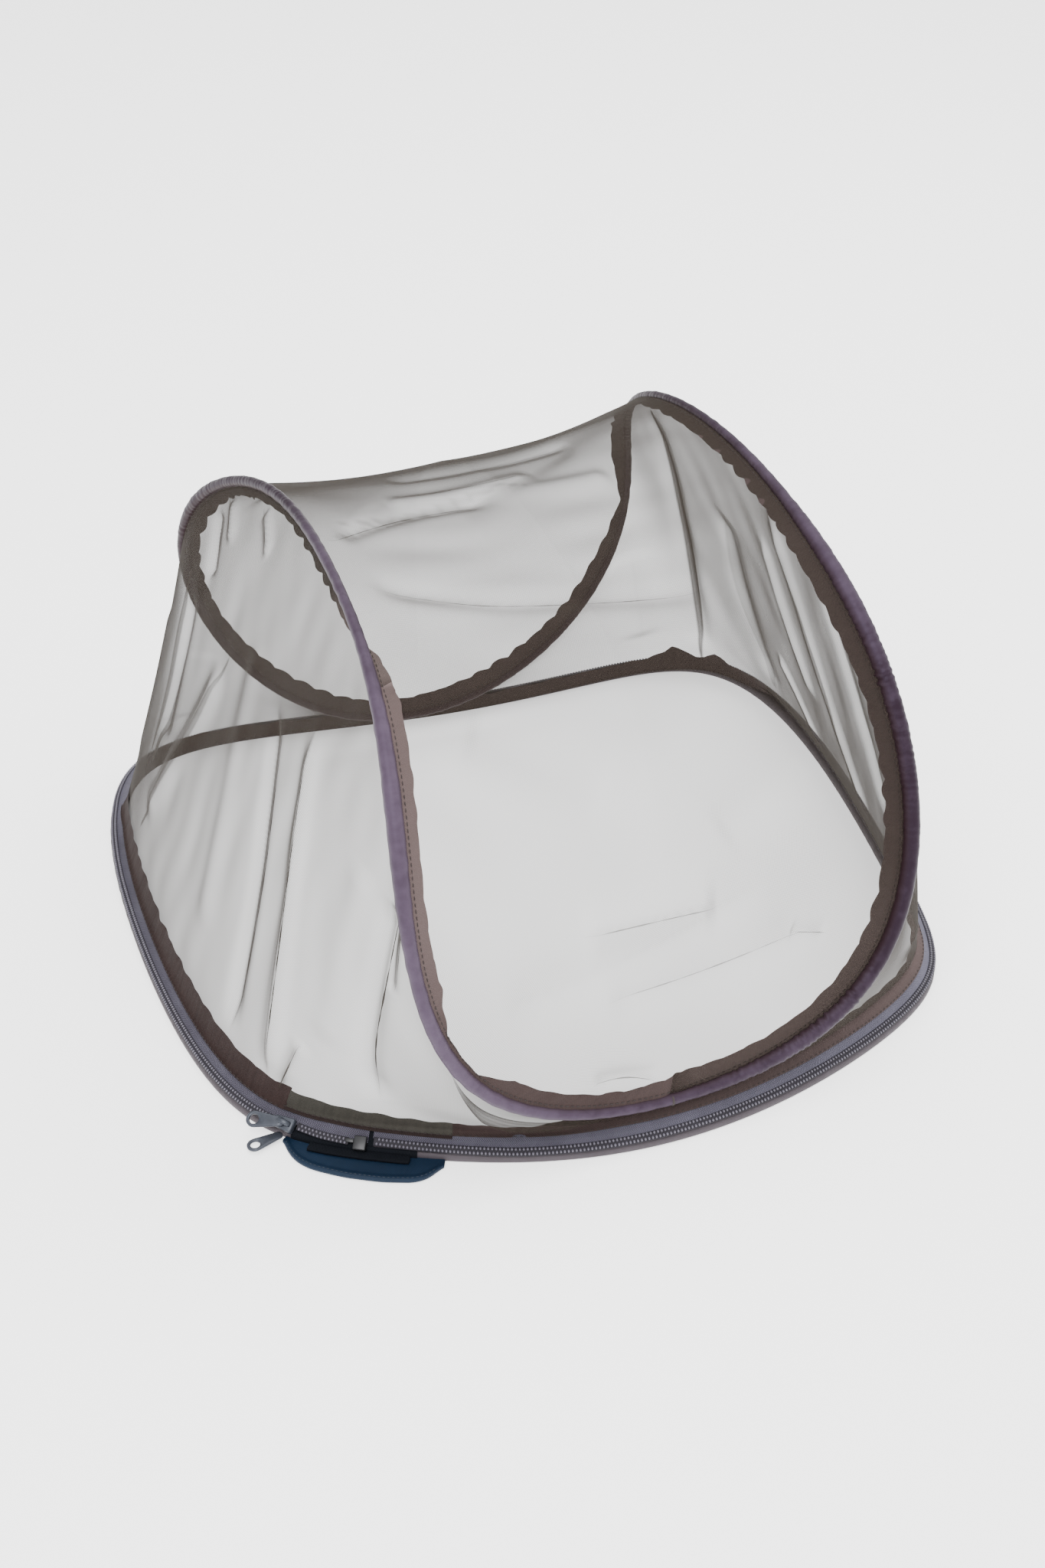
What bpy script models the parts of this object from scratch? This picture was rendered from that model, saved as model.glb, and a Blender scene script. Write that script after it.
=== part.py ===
"""Dome mosquito net: a sprung hoop bent to a saddle holds three mesh panels over a base ring."""

import bpy
import bmesh
import math
import numpy as np

# All sizes in millimetres. x runs from the left peak to the right peak, y to the rear, z up.
# Angles t run round the net in degrees: 0 right peak, 90 rear, 180 left peak, 270 front.

# The hoop's centre line as cosine and sine waves round the net.
# columns: waves per turn, x cos, x sin, y cos, y sin, z cos, z sin
HOOP_WAVES = (
    (0, -2.6, 0.0, -17.3, 0.0, 149.9, 0.0),
    (1, 153.2, 0.9, 2.4, 220.2, -0.2, 5.2),
    (2, 2.3, 1.4, 7.5, -2.6, 115.8, 1.1),
    (3, -45.5, -0.3, -2.0, 26.0, 1.7, 1.5),
    (4, 0.5, -2.8, -5.2, 2.4, -15.6, 1.1),
    (5, 9.1, -0.3, -2.5, -2.0, 0.8, -4.8),
    (6, 1.5, 0.4, 0.7, 0.4, -1.4, 0.5),
    (7, 0.5, 1.1, 0.1, 0.0, -0.8, 2.2),
)

# The base ring's outer edge, flat on the ground.
# columns: waves per turn, x cos, x sin, y cos, y sin
RING_WAVES = (
    (0, -2.0, 0.0, -2.7, 0.0),
    (1, 231.7, 2.0, 0.3, 228.0),
    (2, 0.4, 6.2, 7.6, -4.0),
    (3, -17.2, 3.8, 4.3, 22.3),
    (4, -2.2, 1.8, -7.9, 1.4),
    (5, 1.0, 1.8, -0.8, 3.2),
    (6, 0.6, 0.0, 1.9, -1.0),
)

# Middle of the whole net's box, so that the origin is under its centre.
CENTRE_X = 0.0
CENTRE_Y = -12.45

STEPS = 96
GAP = 0.8

# Hoop sleeve and the tape sewn along its roof side
SLEEVE_R = 4.5
NET_THICK = 1.2
TAPE_THICK = 1.0
TAPE_LIFT = 1.6
HOOP_TAPE_WIDTH = 10.0
HOOP_TAPE_SCALLOP = 1.3
HOOP_TAPE_SCALLOPS = 41

# Base ring, seen in section: out from the ring's outer edge and up from the ground
BASE_WIDTH = 8.4
BASE_HEIGHT = 5.2
BASE_ROUND = 1.8
ZIP_SLOPE = 33.0
CHAIN_OUT = -2.9
CHAIN_UP = 7.9
CHAIN_WIDTH = 5.8
CHAIN_THICK = 2.2
ROW_WIDTH = 2.9
ROW_THICK = 1.6
ZIP_TAPE_START = 3.4
ZIP_TAPE_END = 7.6
HEM_OUT = -10.1
HEM_UP = 12.9
HEM_START = 1.7
HEM_WIDTH = 9.0
HEM_WAVE = 1.2
HEM_WAVES = 37
HEM_SHARE = 0.55
HEM_LIFT = 2.2

# Where pieces start and stop round the ring
PATCH_FROM = 215.4
PATCH_TO = 243.7
SLIT_FROM = 231.9
SLIT_TO = 232.6
CHAIN_FROM = 232.8
CHAIN_TO = 574.0
ROW_FROM = 219.6
ROW_TO = 228.2
BOX_AT = 230.4
SLIDER_AT = 216.8

# Zip hardware
SLIDER_LENGTH = 11.0
SLIDER_WIDTH = 7.4
SLIDER_HEIGHT = 4.2
BOX_LENGTH = 6.4
BOX_WIDTH = 7.2
BOX_HEIGHT = 3.0
PULL_THICK = 1.3
PULL_EYE_R = 4.2
PULL_HOLE_R = 2.5
PULL_NECK_R = 2.4
PULL_SIDES = 24
# columns: name, root (degrees round, out from the ring, up), eye (the same), lean in degrees
PULLS = (
    ("pull_top", (216.4, 0.9, 10.9), (212.3, 5.2, 9.8), 33.0),
    ("pull_under", (216.4, 3.2, 3.4), (214.4, 13.4, 2.4), 0.0),
)

# Handle tab: how far it sticks out from the ring's outer edge.
# columns: degrees round the net, millimetres out
HANDLE_EDGE = (
    (217.4, 3.0),
    (219.2, 8.5),
    (221.2, 13.0),
    (223.2, 15.5),
    (224.8, 16.5),
    (229.7, 18.0),
    (235.3, 18.0),
    (239.3, 16.0),
    (241.1, 11.0),
    (242.3, 3.0),
)
HANDLE_THICK = 2.4
STRIP_FROM = 222.2
STRIP_TO = 238.4
STRIP_WIDTH = 5.0
STRIP_THICK = 1.1

# Roof between the two arches
SPINE_SHRINK = 0.8
ROOF_SAG = 15.0
ROOF_HOLLOW = 10.0

# Creases and ridges. Height is outward from the net, troughs negative.
# columns: angle and share at one end, angle and share at the other, half width, height
# share runs from the hoop (0) to the roof's middle line (1)
ROOF_FOLDS = (
    (180.0, 0.05, 173.0, 0.42, 8.0, -2.6),
    (173.0, 0.42, 171.5, 0.85, 8.0, -2.4),
    (169.0, 0.42, 168.0, 0.78, 8.0, 2.2),
    (168.0, 0.78, 13.0, 0.82, 9.0, 2.4),
    (189.0, 0.10, 193.0, 0.47, 9.0, -3.0),
    (193.0, 0.47, 196.0, 0.72, 10.0, -3.2),
    (196.0, 0.72, 340.0, 0.57, 10.0, -3.0),
    (155.0, 0.62, 22.0, 0.92, 8.0, -2.2),
    (22.0, 0.92, 20.0, 0.40, 8.0, -2.4),
    (170.0, 0.92, 7.0, 0.52, 9.0, 2.4),
    (241.0, 0.60, 246.0, 0.93, 13.0, 3.6),
    (246.0, 0.93, 296.0, 0.80, 13.0, 3.4),
    (212.0, 0.30, 228.0, 0.85, 16.0, -4.0),
    (318.0, 0.25, 304.0, 0.75, 15.0, -3.6),
    (259.0, 0.35, 266.0, 0.60, 10.0, -2.8),
    (40.0, 0.25, 60.0, 0.80, 15.0, -3.4),
    (140.0, 0.25, 122.0, 0.75, 15.0, 3.0),
)
# share runs from the hoop (0) to the base hem (1)
LEFT_FOLDS = (
    (188.5, 0.28, 192.5, 0.53, 7.0, -2.8),
    (192.5, 0.53, 199.5, 0.95, 7.0, -3.0),
    (195.5, 0.22, 199.5, 0.37, 7.0, 2.6),
    (199.5, 0.37, 209.5, 0.95, 8.0, 3.0),
    (224.5, 0.10, 226.5, 0.32, 8.0, -3.0),
    (226.5, 0.32, 231.5, 0.85, 8.0, -3.2),
    (214.5, 0.80, 213.5, 0.97, 6.0, 2.2),
    (169.5, 0.40, 163.5, 0.87, 9.0, 3.4),
    (150.5, 0.30, 158.5, 0.70, 9.0, -3.4),
    (148.5, 0.04, 154.5, 0.19, 6.0, 2.2),
    (153.5, 0.04, 160.5, 0.17, 6.0, -2.2),
    (165.5, 0.03, 171.5, 0.14, 6.0, 2.0),
    (118.0, 0.25, 124.0, 0.85, 12.0, -3.8),
    (134.0, 0.30, 141.0, 0.90, 12.0, 3.6),
)
RIGHT_FOLDS = (
    (26.5, 0.05, 34.5, 0.40, 8.0, 3.6),
    (34.5, 0.40, 41.5, 1.00, 9.0, 4.0),
    (5.5, 0.30, 6.5, 0.73, 8.0, -3.2),
    (6.5, 0.73, -8.5, 0.98, 8.0, -3.0),
    (-0.5, 0.12, -2.5, 0.40, 8.0, 3.0),
    (-2.5, 0.40, -15.5, 0.85, 8.0, 3.2),
    (-11.5, 0.15, -17.5, 0.40, 8.0, -3.0),
    (-17.5, 0.40, -25.5, 0.80, 9.0, -3.2),
    (-44.0, 0.20, -48.0, 0.85, 12.0, 3.4),
    (58.0, 0.20, 56.0, 0.85, 12.0, -3.6),
)
FLAT_EDGE = 13.0
FOLD_FADE = 14.0


def unit(v):
    """Vectors scaled to length one."""
    return v / np.linalg.norm(v, axis=-1, keepdims=True)


def waves(rows, degrees, column):
    """Sum of cosine and sine waves in one pair of columns."""
    angle = np.radians(np.asarray(degrees, float))
    total = np.zeros_like(angle)
    for row in rows:
        total = total + row[column] * np.cos(row[0] * angle) + row[column + 1] * np.sin(row[0] * angle)
    return total


def hoop_at(t):
    """Centre line of the hoop."""
    point = np.stack([waves(HOOP_WAVES, t, 1), waves(HOOP_WAVES, t, 3), waves(HOOP_WAVES, t, 5)], -1)
    return point - np.array([CENTRE_X, CENTRE_Y, 0.0])


def hoop_along(t):
    """Direction the hoop runs in."""
    return unit(hoop_at(t + 0.5) - hoop_at(t - 0.5))


def ring_edge(t):
    """Outer edge of the base ring on the ground."""
    x = waves(RING_WAVES, t, 1) - CENTRE_X
    y = waves(RING_WAVES, t, 3) - CENTRE_Y
    return np.stack([x, y, np.zeros_like(x)], -1)


def ring_out(t):
    """Level direction away from the ring."""
    along = unit(ring_edge(t + 0.5) - ring_edge(t - 0.5))
    return np.stack([along[..., 1], -along[..., 0], np.zeros_like(along[..., 0])], -1)


def ring_at(t, out, up):
    """Point in the ring's section, out from its edge and up from the ground."""
    point = ring_edge(t) + ring_out(t) * np.asarray(out)[..., None]
    point[..., 2] = up
    return point


def zip_at(t, across, lift):
    """Point on the sloping zip: across is up the slope, lift is off its face."""
    slope = math.radians(ZIP_SLOPE)
    out = CHAIN_OUT - across * math.cos(slope) + lift * math.sin(slope)
    up = CHAIN_UP + across * math.sin(slope) + lift * math.cos(slope)
    return ring_at(t, out + np.zeros_like(t), up)


def hem_at(t):
    """Bottom edge of the end panels."""
    return ring_at(t, HEM_OUT + np.zeros_like(t), HEM_UP)


def half_turn(t):
    """The angle on the right-hand arch that lies opposite or at t."""
    turn = (np.asarray(t, float) + 90.0) % 360.0
    return np.where(turn <= 180.0, turn - 90.0, 270.0 - turn)


def spine_out(s):
    """Outward direction of the roof's middle line, in the upright plane between the arches."""
    ahead = (hoop_at(s + 1.0) + hoop_at(179.0 - s)) * 0.5
    behind = (hoop_at(s - 1.0) + hoop_at(181.0 - s)) * 0.5
    along = unit(ahead - behind)
    return unit(np.stack([np.zeros_like(s), -along[..., 2], along[..., 1]], -1))


def spine_at(s):
    """Middle line of the roof, sagging between the arches."""
    middle = (hoop_at(s) + hoop_at(180.0 - s)) * 0.5
    sag = ROOF_SAG * np.cos(np.radians(s)) ** 2
    return middle - spine_out(s) * sag[..., None]


def edge_toward(t, target, distance):
    """Point beside the hoop, square to it and toward the target."""
    centre = hoop_at(t)
    along = hoop_along(t)
    aim = target - centre
    aim = unit(aim - along * np.sum(aim * along, -1, keepdims=True))
    return centre + aim * np.asarray(distance)[..., None], aim


def rise(x):
    """Smooth step from 0 to 1."""
    x = np.clip(x, 0.0, 1.0)
    return x * x * (3.0 - 2.0 * x)


def fold_lift(points, ends_at, folds, clear):
    """Height of all the creases at each point of a panel."""
    lift = np.zeros(points.shape[:-1])
    for angle0, share0, angle1, share1, width, height in folds:
        start = ends_at(np.array(angle0), np.array(share0))
        stop = ends_at(np.array(angle1), np.array(share1))
        line = stop - start
        place = np.sum((points - start) * line, -1) / np.sum(line * line)
        near = start + np.clip(place, 0.0, 1.0)[..., None] * line
        away = np.linalg.norm(points - near, axis=-1)
        lift = lift + height * np.exp(-(away / width) ** 2)
    return lift * rise((clear - FLAT_EDGE) / FOLD_FADE)


def roof_plain(t, share):
    """Roof without creases, from the hoop (share 0) to its middle line (share 1)."""
    s = half_turn(t) * SPINE_SHRINK
    middle = spine_at(s)
    edge, _ = edge_toward(t, middle, SLEEVE_R + GAP + np.zeros_like(t))
    share = np.asarray(share)[..., None]
    hollow = ROOF_HOLLOW * np.cos(np.radians(half_turn(t))) ** 2
    point = edge * (1.0 - share) + middle * share
    return point - spine_out(s) * hollow[..., None] * (share - share * share) * 4.0 * 0.5


def roof_at(t, share):
    """Roof with its creases."""
    plain = roof_plain(t, share)
    length = np.linalg.norm(roof_plain(t, np.ones_like(share)) - roof_plain(t, np.zeros_like(share)), axis=-1)
    lift = fold_lift(plain, roof_plain, ROOF_FOLDS, length * share)
    return plain + spine_out(half_turn(t) * SPINE_SHRINK) * lift[..., None]


def end_plain(t, share):
    """End panel without creases, from the hoop (share 0) to the hem (share 1)."""
    hem = hem_at(t)
    edge, _ = edge_toward(t, hem, SLEEVE_R + GAP + np.zeros_like(t))
    share = np.asarray(share)[..., None]
    return edge * (1.0 - share) + hem * share


def end_out(t, share):
    """Outward direction of an end panel."""
    down = hem_at(t) - hoop_at(t)
    along = end_plain(t + 0.5, share) - end_plain(t - 0.5, share)
    return unit(np.cross(down, along))


def end_at(t, share, folds):
    """End panel with its creases."""
    plain = end_plain(t, share)
    length = np.linalg.norm(end_plain(t, np.ones_like(share)) - end_plain(t, np.zeros_like(share)), axis=-1)
    clear = np.minimum(length * share + 8.0, length * (1.0 - share))
    lift = fold_lift(plain, end_plain, folds, clear)
    return plain + end_out(t, share) * lift[..., None]


def material(name, colour, roughness):
    """Plain Principled material."""
    made = bpy.data.materials.new(name)
    made.use_nodes = True
    shader = made.node_tree.nodes["Principled BSDF"]
    shader.inputs["Base Color"].default_value = (*colour, 1.0)
    shader.inputs["Roughness"].default_value = roughness
    return made


def place(name, mesh, colour, roughness):
    """Put a mesh in the net's collection with a material of its own."""
    item = bpy.data.objects.new(name, mesh)
    net.objects.link(item)
    mesh.materials.append(material(name, colour, roughness))
    return item


def thicken(item, thick):
    """Give a sheet its thickness, half to each side."""
    shell = item.modifiers.new("thickness", "SOLIDIFY")
    shell.thickness = thick * 0.001
    shell.offset = 0.0
    shell.use_even_offset = True
    shell.use_rim = True


def sheet(name, points, closed, thick, colour, roughness):
    """Sheet from rows of points: along the first axis, across the second."""
    rows, cols = points.shape[:2]
    last = rows if closed else rows - 1
    faces = []
    for i in range(last):
        for j in range(cols - 1):
            a = i * cols + j
            b = (i + 1) % rows * cols + j
            faces.append((a, b, b + 1, a + 1))
    mesh = bpy.data.meshes.new(name)
    mesh.from_pydata((points.reshape(-1, 3) * 0.001).tolist(), [], faces)
    shape = bmesh.new()
    shape.from_mesh(mesh)
    bmesh.ops.remove_doubles(shape, verts=shape.verts, dist=0.00001)
    bmesh.ops.recalc_face_normals(shape, faces=shape.faces)
    shape.to_mesh(mesh)
    shape.free()
    item = place(name, mesh, colour, roughness)
    thicken(item, thick)
    return item


def block(name, centre, along, up, size, edge, colour, roughness):
    """Rounded block set square to the ring at one place."""
    mesh = bpy.data.meshes.new(name)
    shape = bmesh.new()
    bmesh.ops.create_cube(shape, size=1.0)
    bmesh.ops.scale(shape, vec=[s * 0.001 for s in size], verts=shape.verts)
    shape.to_mesh(mesh)
    shape.free()
    item = place(name, mesh, colour, roughness)
    side = np.cross(up, along)
    turn = np.stack([along, side, up], -1)
    for vertex in mesh.vertices:
        vertex.co = (turn @ np.array(vertex.co)) + centre * 0.001
    rounded = item.modifiers.new("edges", "BEVEL")
    rounded.width = edge * 0.001
    rounded.segments = 2
    return item


def faceted(shape, t):
    """Points of a shape on the straight runs between the shared steps."""
    step = 360.0 / STEPS
    low = np.floor(t / step + 0.00001) * step
    before = shape(low)
    part = ((t - low) / step).reshape(t.shape + (1,) * (before.ndim - 1))
    return before * (1.0 - part) + shape(low + step) * part


def around(start, stop):
    """Angles from start to stop that keep to the shared steps between them."""
    step = 360.0 / STEPS
    first = math.floor(start / step + 0.15) + 1
    last = math.ceil(stop / step - 0.15) - 1
    inner = [k * step for k in range(first, last + 1)]
    return np.array([start] + inner + [stop])


def strip(name, closed, inner, outer, thick, colour, roughness):
    """Ribbon whose two edges are given point by point."""
    middle = (inner + outer) * 0.5
    return sheet(name, np.stack([inner, middle, outer], 1), closed, thick, colour, roughness)


def hoop_sleeve():
    """Round sleeve over the sprung hoop."""
    curve = bpy.data.curves.new("hoop_sleeve", "CURVE")
    curve.dimensions = "3D"
    curve.bevel_depth = SLEEVE_R * 0.001
    curve.bevel_resolution = 3
    line = curve.splines.new("POLY")
    points = hoop_at(full) * 0.001
    line.points.add(len(points) - 1)
    for spot, point in zip(line.points, points):
        spot.co = (*point, 1.0)
    line.use_cyclic_u = True
    item = bpy.data.objects.new("hoop_sleeve", curve)
    net.objects.link(item)
    curve.materials.append(material("hoop_sleeve", (0.30, 0.22, 0.29), 0.35))


def hoop_tape():
    """Tape along the hoop on the outside of the roof, with a scalloped free edge."""
    middle = spine_at(half_turn(full) * SPINE_SHRINK)
    near, aim = edge_toward(full, middle, SLEEVE_R + GAP + np.zeros_like(full))
    off = unit(np.cross(aim, hoop_along(full)))
    off = off * np.sign(np.sum(off * spine_out(half_turn(full) * SPINE_SHRINK), -1, keepdims=True))
    angle = np.radians(full)
    width = HOOP_TAPE_WIDTH + HOOP_TAPE_SCALLOP * np.sin(HOOP_TAPE_SCALLOPS * angle + 2.0 * np.sin(3 * angle))
    reach = width / np.linalg.norm(middle - near, axis=-1)
    far = roof_plain(full, reach)
    inner = near + off * TAPE_LIFT
    outer = far + off * TAPE_LIFT
    strip("hoop_tape", True, inner, outer, TAPE_THICK, (0.07, 0.045, 0.035), 0.8)


def roof_net():
    """Mesh roof over the saddle, from the hoop to its own middle line."""
    length = np.linalg.norm(roof_plain(full, np.ones(STEPS)) - roof_plain(full, np.zeros(STEPS)), axis=-1)
    flat = np.minimum(FLAT_EDGE / length, 0.4)[:, None]
    share = np.concatenate([np.zeros((STEPS, 1)), flat + (1.0 - flat) * np.linspace(0.0, 1.0, ROOF_ROWS - 1)], 1)
    points = roof_at(np.repeat(full[:, None], ROOF_ROWS, 1), share)
    sheet("roof_net", points, True, NET_THICK, (0.55, 0.53, 0.48), 0.8)


def end_rows(t, folds):
    """Rows of an end panel from the hoop down, with one at the top of the hem."""
    length = np.linalg.norm(end_plain(t, np.ones_like(t)) - end_plain(t, np.zeros_like(t)), axis=-1)
    flat = 1.0 - np.minimum(FLAT_EDGE / length, 0.5)[:, None]
    top = flat * np.linspace(0.0, 1.0, END_ROWS - 2)
    share = np.concatenate([top, (flat + 1.0) * 0.5, np.ones((len(t), 1))], 1)
    return end_at(np.repeat(t[:, None], END_ROWS, 1), share, folds)


def end_net(name, start, stop, folds):
    """Mesh end panel between one arch of the hoop and the base hem."""
    points = faceted(lambda a: end_rows(a, folds), around(start, stop))
    sheet(name, points, False, NET_THICK, (0.55, 0.53, 0.48), 0.8)


def hem_edge(t, free):
    """One edge of the hem tape: the sewn one, or the wavy free one."""
    length = np.linalg.norm(hoop_at(t) - hem_at(t), axis=-1) - SLEEVE_R
    angle = np.radians(t)
    width = HEM_WIDTH + HEM_WAVE * np.sin(HEM_WAVES * angle + 1.5 * np.sin(2 * angle))
    far = np.minimum(HEM_START + width, length * HEM_SHARE) if free else HEM_START + np.zeros_like(t)
    share = 1.0 - far / np.linalg.norm(end_plain(t, np.zeros_like(t)) - hem_at(t), axis=-1)
    return end_plain(t, share) + end_out(t, share) * HEM_LIFT


def hem_strip(name, start, stop, colour):
    """Length of hem tape on the outside of the end panels' bottom edge."""
    t = around(start, stop)
    inner = faceted(lambda a: hem_edge(a, False), t)
    outer = faceted(lambda a: hem_edge(a, True), t)
    strip(name, False, inner, outer, TAPE_THICK, colour, 0.8)


def base_ring():
    """Sleeve over the wire base ring, flat underneath."""
    middle = BASE_HEIGHT * 0.5
    inner = ring_at(full, -BASE_WIDTH + np.zeros_like(full), middle)
    outer = ring_at(full, np.zeros_like(full), middle)
    item = sheet("base_sleeve", np.stack([inner, outer], 1), True, BASE_HEIGHT, (0.16, 0.13, 0.14), 0.6)
    rounded = item.modifiers.new("edges", "BEVEL")
    rounded.width = BASE_ROUND * 0.001
    rounded.segments = 1
    rounded.angle_limit = math.radians(50.0)


def zip_strip(name, start, stop, low, high, thick, colour, roughness):
    """Strip lying on the zip's slope between two heights up it."""
    t = around(start, stop)
    edges = [faceted(lambda a, across=across: zip_at(a, across, 0.0), t) for across in (low, high)]
    sheet(name, np.stack(edges, 1), False, thick, colour, roughness)


def zip_run():
    """Zip tape, closed chain, the open row of coil, box and slider."""
    half = CHAIN_WIDTH * 0.5
    zip_strip("zip_tape", SLIT_TO, SLIT_FROM + 360.0, ZIP_TAPE_START, ZIP_TAPE_END, TAPE_THICK,
              (0.19, 0.18, 0.22), 0.7)
    zip_strip("zip_chain", CHAIN_FROM, CHAIN_TO, -half, half, CHAIN_THICK, (0.25, 0.24, 0.28), 0.4)
    zip_strip("zip_open_row", ROW_FROM, ROW_TO, half - ROW_WIDTH, half, ROW_THICK,
              (0.25, 0.24, 0.28), 0.4)
    for name, at, size, across, lift in (
            ("zip_box", BOX_AT, (BOX_LENGTH, BOX_WIDTH, BOX_HEIGHT), -0.6, 0.4),
            ("slider_body", SLIDER_AT, (SLIDER_LENGTH, SLIDER_WIDTH, SLIDER_HEIGHT), -1.1, 1.2)):
        spot = np.array(at)
        along = unit(ring_edge(spot + 0.5) - ring_edge(spot - 0.5))
        up = unit(zip_at(spot, 0.0, 1.0) - zip_at(spot, 0.0, 0.0))
        block(name, zip_at(spot, across, lift), along, up, size, 0.7, (0.18, 0.19, 0.21), 0.35)


def pull(name, root, eye, lean):
    """Flat teardrop pull from its root to a round eye."""
    up = np.array([0.0, 0.0, math.cos(math.radians(lean))])
    up = up + ring_out(np.array(root[0])) * math.sin(math.radians(lean))
    root = ring_at(np.array(root[0]), np.array(root[1]), root[2])
    eye = ring_at(np.array(eye[0]), np.array(eye[1]), eye[2])
    toward = unit(eye - root)
    side = unit(np.cross(up, toward))
    angle = np.arange(PULL_SIDES) * 2.0 * math.pi / PULL_SIDES
    spread = np.cos(angle)[:, None] * toward + np.sin(angle)[:, None] * side
    outline = np.where(np.cos(angle)[:, None] > -0.3, eye + PULL_EYE_R * spread, root + PULL_NECK_R * spread)
    sheet(name, np.stack([eye + PULL_HOLE_R * spread, outline], 1), True, PULL_THICK,
          (0.18, 0.19, 0.21), 0.35)


def handle():
    """Tab under the front of the ring with a strip of hook tape on it."""
    angles = [row[0] for row in HANDLE_EDGE]
    widths = [row[1] for row in HANDLE_EDGE]
    middle = HANDLE_THICK * 0.5
    t = np.linspace(angles[0], angles[-1], 27)
    near = faceted(lambda a: ring_at(a, GAP + np.zeros_like(a), middle), t)
    far = ring_at(t, np.interp(t, angles, widths), middle)
    strip("handle_tab", False, near, far, HANDLE_THICK, (0.017, 0.045, 0.11), 0.5)
    t = np.linspace(STRIP_FROM, STRIP_TO, 15)
    up = HANDLE_THICK + 0.4 + STRIP_THICK * 0.5
    edges = [faceted(lambda a, out=out: ring_at(a, out + np.zeros_like(a), up), t)
             for out in (GAP + 0.2, GAP + 0.2 + STRIP_WIDTH)]
    sheet("hook_strip", np.stack(edges, 1), False, STRIP_THICK, (0.004, 0.005, 0.007), 0.9)


for old in list(bpy.data.objects):
    bpy.data.objects.remove(old)

ROOF_ROWS = 11
END_ROWS = 13
full = np.arange(STEPS) * 360.0 / STEPS

net = bpy.data.collections.new("dome_mosquito_net")
bpy.context.scene.collection.children.link(net)

hoop_sleeve()
hoop_tape()
roof_net()
end_net("right_net", -89.8, 89.8, RIGHT_FOLDS)
end_net("left_net", 90.2, 269.8, LEFT_FOLDS)
hem_strip("hem_tape", PATCH_TO + 0.17, PATCH_FROM + 359.83, (0.07, 0.045, 0.035))
hem_strip("hem_patch", PATCH_FROM, PATCH_TO, (0.085, 0.085, 0.06))
base_ring()
zip_run()
for row in PULLS:
    pull(*row)
handle()
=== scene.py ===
import math

import bmesh
import bpy
import numpy as np
from mathutils import Matrix
from mathutils.kdtree import KDTree


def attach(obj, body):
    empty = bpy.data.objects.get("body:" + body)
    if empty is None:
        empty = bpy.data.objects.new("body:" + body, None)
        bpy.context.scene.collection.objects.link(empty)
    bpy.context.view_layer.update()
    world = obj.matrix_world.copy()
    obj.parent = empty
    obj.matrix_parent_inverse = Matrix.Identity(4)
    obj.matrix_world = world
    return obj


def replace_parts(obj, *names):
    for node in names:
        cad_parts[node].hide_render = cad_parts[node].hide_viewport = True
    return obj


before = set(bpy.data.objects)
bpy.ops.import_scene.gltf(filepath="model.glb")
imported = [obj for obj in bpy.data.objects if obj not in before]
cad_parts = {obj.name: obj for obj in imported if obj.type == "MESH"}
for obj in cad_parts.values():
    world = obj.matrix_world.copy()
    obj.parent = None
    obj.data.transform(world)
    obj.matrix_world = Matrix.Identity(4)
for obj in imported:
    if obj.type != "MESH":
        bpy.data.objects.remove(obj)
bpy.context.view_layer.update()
root = "root"
mm = 0.001

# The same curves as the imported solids, in millimetres.
# Columns: waves per turn, x cos, x sin, y cos, y sin, z cos, z sin
hoopWaves = (
    (0, -2.6, 0.0, -17.3, 0.0, 149.9, 0.0),
    (1, 153.2, 0.9, 2.4, 220.2, -0.2, 5.2),
    (2, 2.3, 1.4, 7.5, -2.6, 115.8, 1.1),
    (3, -45.5, -0.3, -2.0, 26.0, 1.7, 1.5),
    (4, 0.5, -2.8, -5.2, 2.4, -15.6, 1.1),
    (5, 9.1, -0.3, -2.5, -2.0, 0.8, -4.8),
    (6, 1.5, 0.4, 0.7, 0.4, -1.4, 0.5),
    (7, 0.5, 1.1, 0.1, 0.0, -0.8, 2.2),
)
# Columns: waves per turn, x cos, x sin, y cos, y sin
ringWaves = (
    (0, -2.0, 0.0, -2.7, 0.0),
    (1, 231.7, 2.0, 0.3, 228.0),
    (2, 0.4, 6.2, 7.6, -4.0),
    (3, -17.2, 3.8, 4.3, 22.3),
    (4, -2.2, 1.8, -7.9, 1.4),
    (5, 1.0, 1.8, -0.8, 3.2),
    (6, 0.6, 0.0, 1.9, -1.0),
)
centreY = -12.45
sleeveR = 4.5
zipSlope = 33.0
chainOut = -2.9
chainUp = 7.9
hemOut = -10.1
hemUp = 12.9
spineShrink = 0.8
roofSag = 15.0
roofHollow = 10.0


def unit(v):
    return v / np.linalg.norm(v, axis=-1, keepdims=True)


def waveSum(rows, degrees, column):
    angle = np.radians(np.asarray(degrees, float))
    total = np.zeros_like(angle)
    for row in rows:
        total = total + row[column] * np.cos(row[0] * angle) + row[column + 1] * np.sin(row[0] * angle)
    return total


def hoopAt(t):
    point = np.stack([waveSum(hoopWaves, t, 1), waveSum(hoopWaves, t, 3), waveSum(hoopWaves, t, 5)], -1)
    return point - np.array([0.0, centreY, 0.0])


def hoopAlong(t):
    return unit(hoopAt(t + 0.4) - hoopAt(t - 0.4))


def ringEdge(t):
    x = waveSum(ringWaves, t, 1)
    return np.stack([x, waveSum(ringWaves, t, 3) - centreY, np.zeros_like(x)], -1)


def ringAlong(t):
    return unit(ringEdge(t + 0.4) - ringEdge(t - 0.4))


def ringOut(t):
    along = ringAlong(t)
    return np.stack([along[..., 1], -along[..., 0], np.zeros_like(along[..., 0])], -1)


def ringAt(t, out, up):
    point = ringEdge(t) + ringOut(t) * np.asarray(out)[..., None]
    point[..., 2] = up
    return point


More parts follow.
